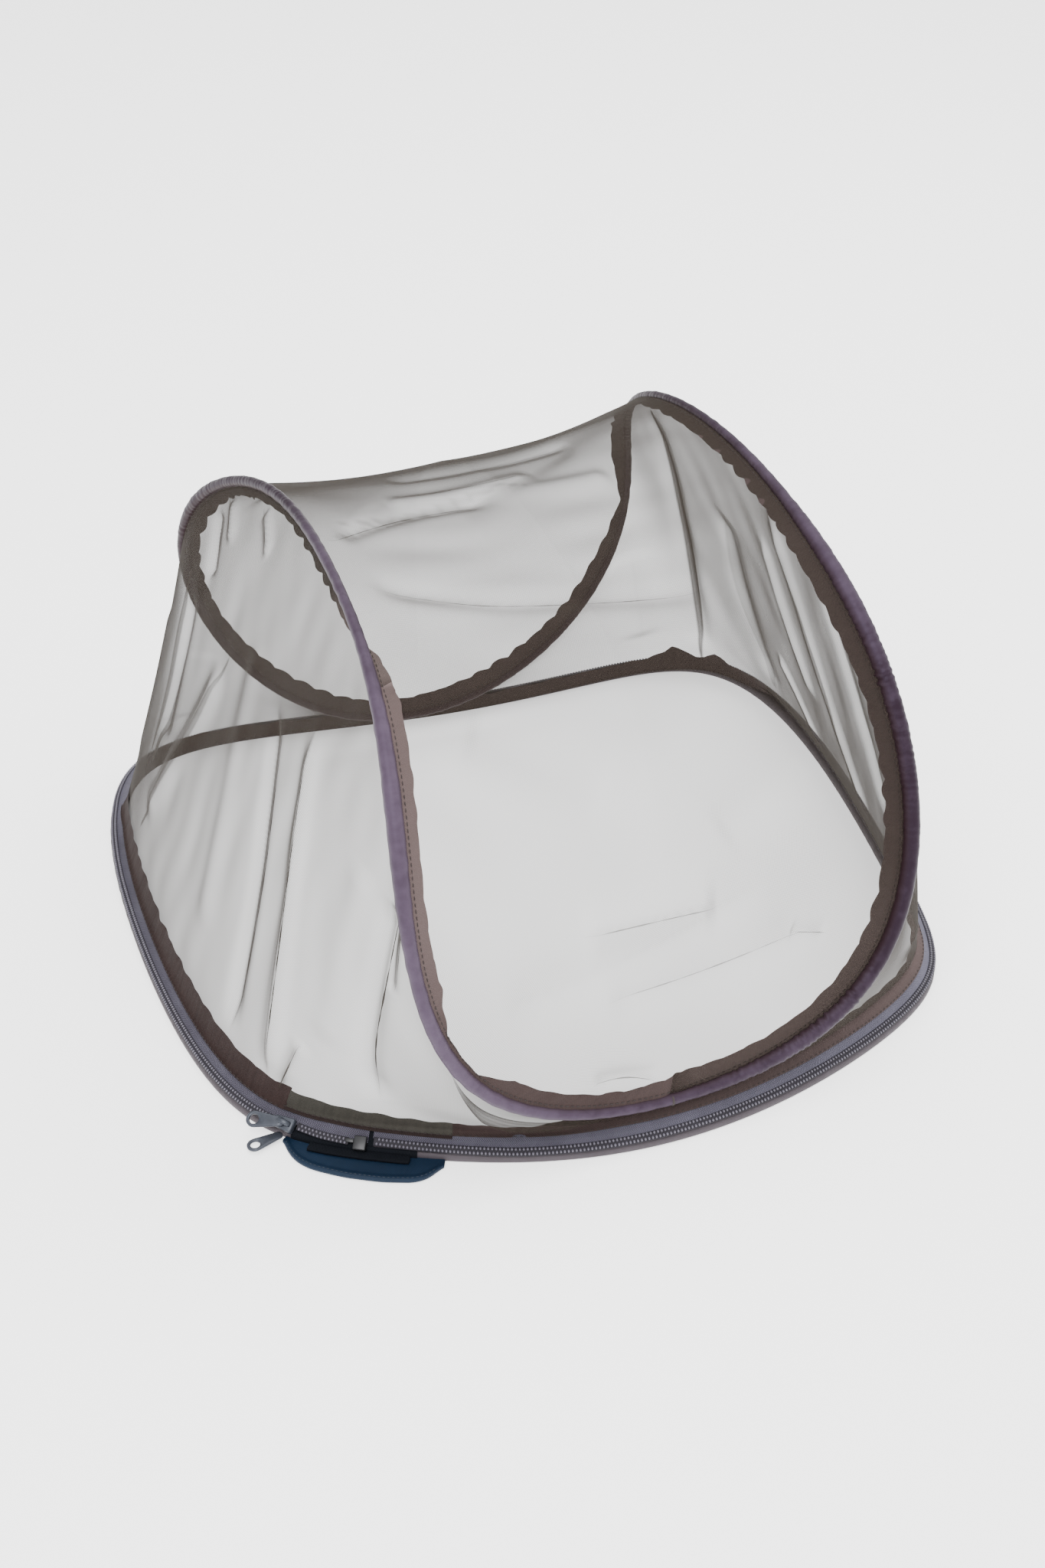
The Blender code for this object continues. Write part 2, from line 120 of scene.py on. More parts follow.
# The zip lies on a slope: across is up the slope, lift is off its face.
def zipAt(t, across, lift):
    slope = math.radians(zipSlope)
    out = chainOut - across * math.cos(slope) + lift * math.sin(slope)
    up = chainUp + across * math.sin(slope) + lift * math.cos(slope)
    return ringAt(t, out, up)


def hemAt(t):
    return ringAt(t, hemOut, hemUp)


def halfTurn(t):
    turn = (np.asarray(t, float) + 90.0) % 360.0
    return np.where(turn <= 180.0, turn - 90.0, 270.0 - turn)


def spineOut(s):
    ahead = (hoopAt(s + 1.0) + hoopAt(179.0 - s)) * 0.5
    behind = (hoopAt(s - 1.0) + hoopAt(181.0 - s)) * 0.5
    along = unit(ahead - behind)
    return unit(np.stack([np.zeros_like(s), -along[..., 2], along[..., 1]], -1))


def spineAt(s):
    middle = (hoopAt(s) + hoopAt(180.0 - s)) * 0.5
    sag = roofSag * np.cos(np.radians(s)) ** 2
    return middle - spineOut(s) * sag[..., None]


# Square to the hoop and toward the target.
def edgeAim(t, target):
    along = hoopAlong(t)
    aim = target - hoopAt(t)
    return unit(aim - along * np.sum(aim * along, -1, keepdims=True))


def roofPlain(t, share, start=sleeveR + 0.8):
    s = halfTurn(t) * spineShrink
    middle = spineAt(s)
    edge = hoopAt(t) + edgeAim(t, middle) * start
    share = np.asarray(share)[..., None]
    hollow = roofHollow * np.cos(np.radians(halfTurn(t))) ** 2
    point = edge * (1.0 - share) + middle * share
    return point - spineOut(s) * hollow[..., None] * (share - share * share) * 2.0


def endPlain(t, share, start=sleeveR + 0.8):
    hem = hemAt(t)
    edge = hoopAt(t) + edgeAim(t, hem) * start
    share = np.asarray(share)[..., None]
    return edge * (1.0 - share) + hem * share


def endOut(t, share):
    down = hemAt(t) - hoopAt(t)
    along = endPlain(t + 0.5, share) - endPlain(t - 0.5, share)
    return unit(np.cross(down, along))


# Smooth step: 3x^2 - 2x^3 from 0 to 1
def rise(x):
    x = np.clip(x, 0.0, 1.0)
    return x * x * (3.0 - 2.0 * x)


# 1 at the middle, fading out past the width: exp(-(distance / width)^2)
def bell(distance, width):
    return np.exp(-(distance / width) ** 2)


def fullTurn(count):
    return np.arange(count) * 2 * math.pi / count


# Presses a circle's cosine or sine toward a square; the lower the power, the squarer.
def squarer(wave, power):
    return np.sign(wave) * np.abs(wave) ** power


def column(rows, k):
    return np.array([row[k] for row in rows])


# Value of a table at the angle t: each row is an angle, then one value or more.
def byAngle(rows, t, k=1):
    return np.interp(np.asarray(t, float), column(rows, 0), column(rows, k))


# Corners of a given line are cut three times, which leaves a smooth curve.
def smoothLine(points):
    for _ in range(3):
        before, after = points[:-1], points[1:]
        cut = np.stack([before * 0.75 + after * 0.25, before * 0.25 + after * 0.75], 1)
        points = np.concatenate([points[:1], cut.reshape(-1, points.shape[1]), points[-1:]])
    return points


# Distance of each point from a line, and how far along the line (0 to 1) its nearest point is.
def lineReach(points, line):
    run = arcLength(line)
    away = np.full(points.shape[:-1], 1e9)
    place = np.zeros(points.shape[:-1])
    for k in range(len(line) - 1):
        step = line[k + 1] - line[k]
        length = max(np.linalg.norm(step), 1e-6)
        part = np.clip(np.sum((points - line[k]) * step, -1) / length ** 2, 0.0, 1.0)
        distance = np.linalg.norm(points - line[k] - part[..., None] * step, axis=-1)
        closer = distance < away
        away = np.where(closer, distance, away)
        place = np.where(closer, (run[k] + part * length) / run[-1], place)
    return away, place


def placedLine(endsAt, places):
    spots = np.array([endsAt(np.array(float(t)), np.array(share)) for t, share in places])
    return smoothLine(spots)


# A crease thins out toward both of its ends.
def thinEnds(place):
    return rise(np.minimum(place, 1.0 - place) * 7.0 + 0.15)


creaseWork = {"pinch": 2.0, "pinchWidth": 1.6, "core": 0.4, "coreWidth": 1.3, "shadeHaze": 0.16,
              "shadeHazeWidth": 4.5, "taper": 0.6, "soft": 0.7, "rim": 0.6, "rimWidth": 0.6}


# A crease is a soft trough or ridge, height * exp(-(distance / width)^2), that thins out at its
# ends. Along its middle the cloth is pinched, so more thread covers there; a wider soft haze of extra cover
# beside it is painted shade.
def creaseCloth(points, endsAt, creases, bands, cover):
    p = creaseWork
    lift = np.zeros(points.shape[:-1])
    for places, width, height, line in creases:
        away, place = lineReach(points, placedLine(endsAt, places))
        ends = thinEnds(place)
        lift = lift + height * ends * bell(away, width)
        if line > 0:
            lift = lift + np.sign(height) * line * p["pinch"] * ends * bell(away, p["pinchWidth"])
            # Painted shade: the wide soft haze of extra cover along each side of the crease.
            pinchAndShade = p["core"] * bell(away, p["coreWidth"]) + p["shadeHaze"] * bell(away, p["shadeHazeWidth"])
            cover = cover + line * ends * pinchAndShade
    # A band is cloth folded over on itself: two layers between sharp edges, widest at its middle.
    for places, width, line in bands:
        away, place = lineReach(points, placedLine(endsAt, places))
        room = width * np.clip(np.sin(np.pi * np.clip(place, 0.0, 1.0)), 0.0, 1.0) ** p["taper"]
        cover = cover + line * np.clip((room - away) / p["soft"] + 0.5, 0.0, 1.0)
        cover = cover + line * p["rim"] * bell(away - room, p["rimWidth"]) * (room > 0.3)
    return lift, cover


# Uneven small slack in taut cloth: a few crossing waves at fixed phases.
def slackLift(u, v, seed, count, longest, shortest, lean):
    rng = np.random.default_rng(seed)
    total = np.zeros_like(u)
    for _ in range(count):
        size = rng.uniform(shortest, longest)
        turn = rng.normal(lean, 0.35)
        phase = rng.uniform(0.0, 2.0 * math.pi, 2)
        along = u * math.cos(turn) + v * math.sin(turn)
        over = v * math.cos(turn) - u * math.sin(turn)
        total = total + np.sin(2 * math.pi * along / size + phase[0]) * np.cos(
            math.pi * over / (size * 2.2) + phase[1])
    return total / math.sqrt(count)


def arcLength(points):
    step = np.linalg.norm(np.diff(points, axis=0), axis=-1)
    return np.concatenate([[0.0], np.cumsum(step)])


# Flat place of each point of a sheet, in millimetres: along its run, and across.
def flatUv(run, across):
    shape = (len(run), np.shape(across)[-1])
    return np.stack([np.broadcast_to(run[:, None], shape), np.broadcast_to(across, shape)], -1)


def newObject(name, data):
    item = bpy.data.objects.new(name, data)
    bpy.context.scene.collection.objects.link(item)
    return item


def makeObject(name, mesh, material):
    item = newObject(name, mesh)
    mesh.materials.append(material)
    mesh.shade_smooth()
    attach(item, root)
    return item


# Surface through a grid of points. uv is in millimetres with one more row where the rows close.
def gridObject(name, points, uv, material,
               closedRows=False, closedCols=False, weld=False, flip=False):
    rows, cols = points.shape[:2]
    i, j = np.meshgrid(np.arange(rows if closedRows else rows - 1),
                       np.arange(cols if closedCols else cols - 1), indexing="ij")
    i, j = i.ravel(), j.ravel()
    corners = ((i, j), (i + 1, j), (i + 1, j + 1), (i, j + 1))
    if flip:
        corners = corners[::-1]
    faces = np.stack([(a % rows) * cols + b % cols for a, b in corners], 1)
    mesh = bpy.data.meshes.new(name)
    mesh.from_pydata((points.reshape(-1, 3) * mm).tolist(), [], faces.tolist())
    layer = mesh.uv_layers.new(name="flat")
    places = np.stack([uv[a, b] for a, b in corners], 1)
    layer.data.foreach_set("uv", places.ravel())
    if weld:
        shape = bmesh.new()
        shape.from_mesh(mesh)
        bmesh.ops.remove_doubles(shape, verts=shape.verts, dist=0.00002)
        shape.to_mesh(mesh)
        shape.free()
    return makeObject(name, mesh, material)


# Ball squeezed to three half sizes, as points and faces with closed poles.
def ballShape(sides, rings, halves):
    turn = fullTurn(sides)
    lift = (np.arange(rings) + 1) * math.pi / (rings + 1)
    body = np.stack([np.outer(np.sin(lift), np.cos(turn)), np.outer(np.sin(lift), np.sin(turn)),
                     np.outer(np.cos(lift), np.ones(sides))], -1).reshape(-1, 3)
    points = np.concatenate([body, [[0, 0, 1.0]], [[0, 0, -1.0]]]) * np.array(halves)
    faces = []
    for ring in range(rings - 1):
        for side in range(sides):
            a, b = ring * sides + side, ring * sides + (side + 1) % sides
            faces.append((a, a + sides, b + sides, b))
    top, bottom = sides * rings, sides * rings + 1
    for side in range(sides):
        after = (side + 1) % sides
        faces.append((top, side, after))
        faces.append((bottom, (rings - 1) * sides + after, (rings - 1) * sides + side))
    return points, faces


# The same small shape set at many places: each place has an origin and three directions.
def repeatObject(name, shape, origins, frames, material):
    points, faces = shape
    all3 = origins[:, None, :] + np.einsum("pk,nkc->npc", points, frames)
    mesh = bpy.data.meshes.new(name)
    count = len(points)
    allFaces = [tuple(v + k * count for v in face) for k in range(len(origins)) for face in faces]
    mesh.from_pydata((all3.reshape(-1, 3) * mm).tolist(), [], allFaces)
    return makeObject(name, mesh, material)


def evenPlaces(pathAt, start, stop, pitch):
    fine = np.linspace(start, stop, 6000)
    run = arcLength(pathAt(fine))
    count = int(run[-1] / pitch)
    return np.interp((np.arange(count) + 0.5) * run[-1] / count, run, fine)


# Colour from 0-255 values as seen
def linear(r, g, b):
    return tuple(((c / 255.0 + 0.055) / 1.055) ** 2.4 if c > 10 else c / 3294.6 for c in (r, g, b)) + (1.0,)


def addNode(tree, kind, **values):
    node = tree.nodes.new(kind)
    for key, value in values.items():
        setattr(node, key, value)
    return node


def plug(tree, target, source):
    if isinstance(source, bpy.types.NodeSocket):
        tree.links.new(source, target)
    else:
        target.default_value = source


def calc(tree, operation, *sources):
    node = addNode(tree, "ShaderNodeMath", operation=operation)
    for socket, source in zip(node.inputs, sources):
        plug(tree, socket, source)
    return node.outputs[0]


def times(tree, first, second):
    return calc(tree, "MULTIPLY", first, second)


# source * factor + extra
def scaleAdd(tree, source, factor, extra):
    return calc(tree, "MULTIPLY_ADD", source, factor, extra)


def clamped(tree, source):
    node = addNode(tree, "ShaderNodeClamp")
    plug(tree, node.inputs[0], source)
    return node.outputs[0]


def pointValue(tree, name):
    return addNode(tree, "ShaderNodeAttribute", attribute_name=name).outputs["Fac"]


def split(tree, place):
    node = addNode(tree, "ShaderNodeSeparateXYZ")
    plug(tree, node.inputs[0], place)
    return node.outputs


def noise(tree, place, scale, detail=2.0):
    node = addNode(tree, "ShaderNodeTexNoise")
    plug(tree, node.inputs["Vector"], place)
    plug(tree, node.inputs["Scale"], scale)
    node.inputs["Detail"].default_value = detail
    return node.outputs["Fac"]


def stretched(tree, place, scale):
    node = addNode(tree, "ShaderNodeMapping")
    node.inputs["Scale"].default_value = scale
    plug(tree, node.inputs["Vector"], place)
    return node.outputs[0]


def blendColour(tree, factor, first, second):
    node = addNode(tree, "ShaderNodeMix", data_type="RGBA")
    plug(tree, node.inputs[0], factor)
    plug(tree, node.inputs[6], first)
    plug(tree, node.inputs[7], second)
    return node.outputs[2]


def newMaterial(name, roughness, gloss=0.5):
    material = bpy.data.materials.new(name)
    material.use_nodes = True
    tree = material.node_tree
    shader = tree.nodes["Principled BSDF"]
    shader.inputs["Roughness"].default_value = roughness
    shader.inputs["Specular IOR Level"].default_value = gloss
    return material, tree, shader


# A group takes a place on the piece and plain values, and gives values.
def newGroup(name, values, results):
    tree = bpy.data.node_groups.new(name, "ShaderNodeTree")
    tree.interface.new_socket("Place", in_out="INPUT", socket_type="NodeSocketVector")
    for label, value in values.items():
        socket = tree.interface.new_socket(label, in_out="INPUT", socket_type="NodeSocketFloat")
        socket.default_value = value
    for label in results:
        tree.interface.new_socket(label, in_out="OUTPUT", socket_type="NodeSocketFloat")
    return tree, addNode(tree, "NodeGroupInput").outputs, addNode(tree, "NodeGroupOutput").inputs


def useGroup(tree, group, **sources):
    node = addNode(tree, "ShaderNodeGroup", node_tree=group)
    for key, source in sources.items():
        plug(tree, node.inputs[key], source)
    return node.outputs


# Plain weave: threads of each direction rise over the other in turn.
def weaveGroup():
    tree, given, result = newGroup("plainWeave", {"Across": 1.0, "Along": 1.0}, ("Height", "Gap"))
    parts = split(tree, given["Place"])
    u = calc(tree, "SINE", times(tree, parts[0], given["Along"]))
    v = calc(tree, "SINE", times(tree, parts[1], given["Across"]))
    plug(tree, result["Height"], scaleAdd(tree, times(tree, u, v), 0.5, 0.5))
    plug(tree, result["Gap"], times(tree, calc(tree, "ABSOLUTE", u), calc(tree, "ABSOLUTE", v)))
    return tree


# Uneven tone: broad and fine noise together, from 0 to 1.
def mottleGroup():
    tree, given, result = newGroup("unevenTone", {"Size": 40.0}, ("Tone",))
    broad = noise(tree, given["Place"], given["Size"], 2.0)
    fine = noise(tree, given["Place"], times(tree, given["Size"], 5.3), 4.0)
    plug(tree, result["Tone"], scaleAdd(tree, fine, 0.4, times(tree, broad, 0.6)))
    return tree


# Herringbone: slanted ribs that turn at each rib column's edge.
def herringboneGroup():
    tree, given, result = newGroup("herringbone", {"Column": 2.4, "Rib": 0.9}, ("Height",))
    parts = split(tree, given["Place"])
    slant = calc(tree, "PINGPONG", parts[1], given["Column"])
    run = calc(tree, "DIVIDE", calc(tree, "ADD", parts[0], slant), given["Rib"])
    wave = calc(tree, "SINE", times(tree, run, 2 * math.pi))
    plug(tree, result["Height"], scaleAdd(tree, wave, 0.5, 0.5))
    return tree


plainWeave = weaveGroup()
unevenTone = mottleGroup()
herringbone = herringboneGroup()


def flatPlace(tree):
    return addNode(tree, "ShaderNodeUVMap", uv_map="flat").outputs[0]


def objectPlace(tree):
    return addNode(tree, "ShaderNodeTexCoord").outputs["Object"]


# Weave with threads so many millimetres apart
def weaveOf(tree, across, along):
    place = flatPlace(tree)
    return useGroup(tree, plainWeave, Place=place, Across=math.pi / across, Along=math.pi / along)


def toneOf(tree, size):
    return useGroup(tree, unevenTone, Place=objectPlace(tree), Size=size)["Tone"]


def bump(tree, shader, height, strength, distance, before=None):
    node = addNode(tree, "ShaderNodeBump")
    node.inputs["Strength"].default_value = strength
    node.inputs["Distance"].default_value = distance
    plug(tree, node.inputs["Height"], height)
    if before is not None:
        plug(tree, node.inputs["Normal"], before)
    plug(tree, shader.inputs["Normal"], node.outputs[0])
    return node.outputs[0]


# Open mesh: thread cover c grows with the slant of the view, 1 - (1 - c)^(1 / cos).
def meshMaterial(name, thread, lighter, pitch):
    material, tree, shader = newMaterial(name, 0.8, 0.1)
    weave = weaveOf(tree, pitch, pitch)
    cover = pointValue(tree, "cover")
    facing = addNode(tree, "ShaderNodeLayerWeight")
    facing.inputs[0].default_value = 0.5
    cosine = calc(tree, "MAXIMUM", calc(tree, "SUBTRACT", 1.0, facing.outputs["Facing"]), 0.14)
    swing = times(tree, times(tree, cosine, cosine), scaleAdd(tree, weave["Gap"], -0.6, 0.24))
    some = calc(tree, "MINIMUM", scaleAdd(tree, swing, cover, cover), 0.92)
    clear = calc(tree, "POWER", calc(tree, "SUBTRACT", 1.0, some), calc(tree, "DIVIDE", 1.0, cosine))
    plug(tree, shader.inputs["Alpha"], calc(tree, "SUBTRACT", 1.0, clear))
    plug(tree, shader.inputs["Base Color"], blendColour(tree, weave["Height"], thread, lighter))
    return material


# Thin woven tape: crossing threads, uneven tone, a row of faint creases across it, and
# paler where its attribute of painted light is high: that is painted light and shade.
def tapeMaterial(name, colour, light):
    material, tree, shader = newMaterial(name, 0.75, 0.15)
    weave = weaveOf(tree, 0.62, 0.62)["Height"]
    folds = noise(tree, stretched(tree, flatPlace(tree), (0.32, 0.03, 1.0)), 1.0)
    mixed = calc(tree, "ADD", times(tree, toneOf(tree, 45.0), 1.3), folds)
    base = blendColour(tree, clamped(tree, scaleAdd(tree, mixed, 1.3, -1.0)), colour, light)
    thread = blendColour(tree, times(tree, weave, 0.4), base, light)
    # Painted light and shade: blended toward pinkish grey where the tape looks lit.
    litAndShadedTape = blendColour(tree, pointValue(tree, "paintedLight"), thread, linear(128, 112, 110))
    plug(tree, shader.inputs["Base Color"], litAndShadedTape)
    first = bump(tree, shader, folds, 0.5, 0.0015)
    bump(tree, shader, weave, 0.45, 0.0003, first)
    return material


# Satin: fine lengthwise threads and cross puckers, paler where the "shade" attribute is high;
# that attribute is painted light and shade round the hoop. Its underside, where sin(v / radius)
# is below zero, and its seam side, where cos is high, are darkened toward plum brown as painted shade.
def satinMaterial(name, dark, light, shadedPlum, roughness):
    material, tree, shader = newMaterial(name, roughness, 0.14)
    shader.inputs["Specular Tint"].default_value = (0.8, 0.72, 1.0, 1.0)
    place = flatPlace(tree)
    pucker = noise(tree, stretched(tree, place, (0.2, 0.12, 1.0)), 1.0, 3.0)
    weave = weaveOf(tree, 0.35, 0.7)["Height"]
    mixed = calc(tree, "ADD", toneOf(tree, 14.0), times(tree, pucker, 0.5))
    shade = calc(tree, "ADD", scaleAdd(tree, mixed, 0.9, -0.68), pointValue(tree, "shade"))
    around = calc(tree, "DIVIDE", split(tree, place)[1], sleeveR)
    # Painted shade: the underside and the seam side are blended toward plum brown.
    under = clamped(tree, scaleAdd(tree, calc(tree, "SINE", around), -3.0, -0.5))
    seam = clamped(tree, scaleAdd(tree, calc(tree, "COSINE", around), 1.8, -0.9))
    base = blendColour(tree, clamped(tree, shade), dark, light)
    base = blendColour(tree, times(tree, seam, 0.7), base, shadedPlum)
    plug(tree, shader.inputs["Base Color"], blendColour(tree, under, base, shadedPlum))
    plug(tree, shader.inputs["Roughness"], scaleAdd(tree, pucker, 0.22, roughness - 0.1))
    first = bump(tree, shader, pucker, 0.3, 0.0008)
    bump(tree, shader, weave, 0.25, 0.0002, first)
    return material


def zipTapeMaterial(name, dark, light):
    material, tree, shader = newMaterial(name, 0.65, 0.2)
    ribs = useGroup(tree, herringbone, Place=flatPlace(tree), Column=1.5, Rib=1.05)["Height"]
    mixed = scaleAdd(tree, toneOf(tree, 30.0), 0.5, times(tree, ribs, 0.5))
    # The "shade" attribute is painted light and shade round the net.
    shade = calc(tree, "SUBTRACT", pointValue(tree, "shade"), 0.3)
    level = clamped(tree, calc(tree, "ADD", mixed, shade))
    plug(tree, shader.inputs["Base Color"], blendColour(tree, level, dark, light))
    bump(tree, shader, ribs, 0.8, 0.0006)
    return material


def plainCloth(name, dark, light, roughness, pitch, size, gloss):
    material, tree, shader = newMaterial(name, roughness, gloss)
    weave = weaveOf(tree, pitch, pitch)["Height"]
    mixed = scaleAdd(tree, toneOf(tree, size), 0.7, times(tree, weave, 0.3))
    plug(tree, shader.inputs["Base Color"], blendColour(tree, mixed, dark, light))
    bump(tree, shader, weave, 0.4, 0.0003)
    return material


# Painted metal, a little paler on its sharp edges
def paintMaterial(name, colour, paleColour):
    material, tree, shader = newMaterial(name, 0.4, 0.4)
    shader.inputs["Metallic"].default_value = 0.3
    tone = toneOf(tree, 260.0)
    edge = addNode(tree, "ShaderNodeNewGeometry").outputs["Pointiness"]
    sharp = clamped(tree, times(tree, calc(tree, "SUBTRACT", edge, 0.53), 8.0))
    base = blendColour(tree, times(tree, tone, 0.5), colour, paleColour)
    plug(tree, shader.inputs["Base Color"], blendColour(tree, times(tree, sharp, 0.6), base, paleColour))
    plug(tree, shader.inputs["Roughness"], scaleAdd(tree, tone, 0.25, 0.24))
    bump(tree, shader, tone, 0.08, 0.0003)
    return material


def coilMaterial(name, dark, light, roughness):
    material, tree, shader = newMaterial(name, roughness, 0.6)
    tone = toneOf(tree, 300.0)
    plug(tree, shader.inputs["Base Color"], blendColour(tree, tone, dark, light))
    bump(tree, shader, tone, 0.15, 0.0002)
    return material


netMesh = meshMaterial("netMesh", linear(41, 36, 31), linear(52, 46, 40), 0.95)
brownTape = tapeMaterial("brownTape", linear(29, 18, 16), linear(43, 31, 29))
foldTape = tapeMaterial("foldTape", linear(24, 16, 15), linear(38, 28, 26))
greenTape = tapeMaterial("greenTape", linear(38, 37, 32), linear(54, 52, 47))
hoopSatin = satinMaterial("hoopSatin", linear(35, 24, 32), linear(88, 76, 92), linear(40, 27, 27), 0.42)
baseBand = plainCloth("baseBand", linear(54, 48, 51), linear(84, 78, 84), 0.6, 0.5, 60.0, 0.2)
zipCloth = zipTapeMaterial("zipCloth", linear(46, 41, 50), linear(118, 116, 132))
zipWeb = plainCloth("zipWeb", linear(26, 24, 29), linear(46, 43, 50), 0.6, 0.4, 90.0, 0.2)
lowerTape = plainCloth("lowerTape", linear(50, 42, 46), linear(76, 68, 76), 0.6, 0.6, 60.0, 0.15)
zipCoil = coilMaterial("zipCoil", linear(68, 65, 74), linear(106, 102, 115), 0.4)
threadDark = coilMaterial("threadDark", linear(26, 18, 17), linear(40, 29, 27), 0.8)
threadBlue = coilMaterial("threadBlue", linear(6, 16, 28), linear(14, 32, 52), 0.6)
zipMetal = paintMaterial("zipMetal", linear(44, 47, 54), linear(82, 86, 96))
boxMetal = paintMaterial("boxMetal", linear(22, 22, 24), linear(48, 48, 51))
handleCloth = plainCloth("handleCloth", linear(7, 20, 34), linear(14, 37, 60), 0.5, 0.45, 30.0, 0.2)
hookTape = plainCloth("hookTape", linear(6, 9, 13), linear(18, 20, 26), 0.85, 0.8, 90.0, 0.1)

print("stage: materials")

# At the right front the hem tape carries on the zip's slope; elsewhere it lies on the net.
def hemLean(t):
    return rise((t - 252.0) / 14.0) * (1.0 - rise((t - 326.0) / 18.0))


# Net panels. Each crease: places along it (angle, share), half width, height, pinch.
# Each band of doubled cloth: places along it, half width, added cover.
roofCreases = (
    (((180, 0.02), (173, 0.42), (171, 0.75), (172, 0.90)), 7.0, -2.4, 0.22),
    (((169, 0.42), (168, 0.78), (13, 0.82)), 8.0, 2.2, 0.13),
    (((189, 0.08), (193, 0.45), (196, 0.72), (340, 0.62), (341, 0.43)), 8.0, -2.8, 0.10),
    (((158, 0.57), (22, 0.92), (20, 0.50)), 8.0, -2.2, 0.12),
    (((170, 0.90), (7, 0.52)), 9.0, 2.2, 0.06),
    (((241, 0.60), (246, 0.93), (296, 0.76)), 12.0, 3.2, 0.14),
    (((251, 0.60), (287, 0.77), (296, 0.33)), 12.0, -2.6, 0.09),
    (((242, 0.22), (249, 0.82), (300, 0.57)), 14.0, -2.4, 0.07),
    (((259, 0.20), (262, 0.33), (267, 0.30)), 5.0, -2.2, 0.14),
    (((212, 0.30), (228, 0.85)), 14.0, -3.2, 0.0),
    (((318, 0.25), (304, 0.75)), 14.0, -3.0, 0.0),
    (((40, 0.25), (60, 0.80)), 14.0, -3.0, 0.04),
    (((140, 0.25), (122, 0.75)), 14.0, 2.6, 0.04),
    (((295, 0.40), (296, 0.25)), 4.0, -1.6, 0.15),
)
roofBands = (
    (((35, 0.72), (60, 0.80), (90, 0.84), (120, 0.80)), 1.6, 0.08),
    (((176, 0.05), (172, 0.55), (168, 0.95), (10, 0.90)), 2.2, 0.07),
)
leftCreases = (
    (((185.5, 0.30), (189.5, 0.45), (194.0, 0.62), (198.5, 0.94)), 7.0, -2.8, 0.42),
    (((195.5, 0.22), (199.5, 0.42), (203.5, 0.60), (209.5, 0.96)), 7.0, 2.8, 0.46),
    (((224.5, 0.05), (226.5, 0.32), (228.5, 0.66), (232.5, 0.84)), 7.0, -3.0, 0.34),
    (((225.5, 0.02), (229.5, 0.27)), 4.0, -1.4, 0.16),
    (((214.5, 0.80), (213.0, 0.97)), 5.0, 2.0, 0.30),
    (((169.5, 0.40), (168.0, 0.55), (165.5, 0.68), (162.5, 0.87)), 9.0, 3.2, 0.0),
    (((150.5, 0.30), (158.5, 0.70)), 9.0, -3.2, 0.06),
    (((155.0, 0.02), (158.5, 0.13)), 5.0, 1.8, 0.30),
    (((151.0, 0.05), (155.5, 0.24)), 6.0, -2.0, 0.30),
    (((165.5, 0.02), (170.0, 0.10)), 5.0, 1.8, 0.26),
    (((118.0, 0.25), (124.0, 0.85)), 12.0, -1.6, 0.04),
    (((134.0, 0.30), (141.0, 0.90)), 12.0, 1.0, 0.05),
    (((176.0, 0.25), (186.0, 0.85)), 10.0, 1.6, 0.0),
    (((216.0, 0.20), (219.0, 0.75)), 10.0, 1.4, 0.0),
)
leftBands = (
    (((146.5, 0.22), (149.5, 0.45), (153.5, 0.60), (155.5, 0.76)), 2.8, 0.20),
    (((154.5, 0.46), (157.5, 0.63), (157.5, 0.78)), 3.0, 0.20),
    (((170.0, 0.36), (168.5, 0.55), (165.5, 0.68), (162.0, 0.92)), 2.6, 0.16),
    (((137.0, 0.50), (143.0, 0.75), (149.0, 0.97)), 6.0, 0.14),
)
rightCreases = (
    (((26.5, 0.03), (28.5, 0.23), (32.5, 0.43), (37.5, 0.68), (41.5, 1.00)), 8.0, 3.4, 0.07),
    (((-1.5, 0.12), (-3.5, 0.37), (-6.0, 0.68), (-11.5, 0.94)), 8.0, -2.8, 0.05),
    (((-14.0, 0.15), (-18.5, 0.38), (-22.5, 0.74)), 8.0, 2.8, 0.05),
    (((11.5, 0.73), (7.5, 0.88), (4.5, 0.99)), 5.0, -1.8, 0.10),
    (((14.5, 0.30), (18.5, 0.63), (18.5, 0.92)), 10.0, 2.6, 0.0),
    (((3.5, 0.25), (3.5, 0.52), (1.5, 0.74)), 6.0, -2.0, 0.12),
    (((-44.0, 0.20), (-48.0, 0.85)), 12.0, 3.2, 0.05),
    (((58.0, 0.20), (56.0, 0.85)), 12.0, -3.2, 0.04),
    (((-30.0, 0.55), (-34.0, 0.97)), 6.0, -1.8, 0.16),
)
rightBands = (
    (((26.5, 0.02), (28.5, 0.23), (32.5, 0.45), (37.5, 0.70), (41.5, 1.00)), 3.4, 0.32),
    (((-0.5, 0.12), (-3.5, 0.37), (-5.5, 0.58), (-7.5, 0.80), (-12.0, 0.96)), 3.4, 0.18),
    (((-14.0, 0.16), (-18.5, 0.38), (-21.5, 0.58), (-23.0, 0.76)), 3.0, 0.18),
    (((11.5, 0.73), (7.5, 0.88), (4.5, 0.99)), 1.2, 0.20),
    (((15.0, 0.32), (18.5, 0.63), (18.5, 0.94)), 9.0, 0.07),
    (((-23.5, 0.70), (-29.0, 0.90), (-36.0, 0.99)), 4.0, 0.30),
)
netWork = {"start": 2.2, "flatEdge": 9.0, "fade": 14.0, "cover": 0.345, "uneven": 0.07,
           "roofSteps": 460, "roofRows": 190, "endSteps": 860, "endRows": 88}


# Lengths along the hoop and down the cloth, both in millimetres
def netUv(points, closed):
    along = np.concatenate([points, points[:1]]) if closed else points
    step = np.linalg.norm(np.diff(along, axis=1), axis=-1)
    down = np.concatenate([np.zeros((len(along), 1)), np.cumsum(step, 1)], 1)
    return flatUv(arcLength(along[:, 0]), down)


def setLayer(item, name, values):
    layer = item.data.attributes.new(name, "FLOAT", "POINT")
    layer.data.foreach_set("value", np.asarray(values, dtype=np.float32))


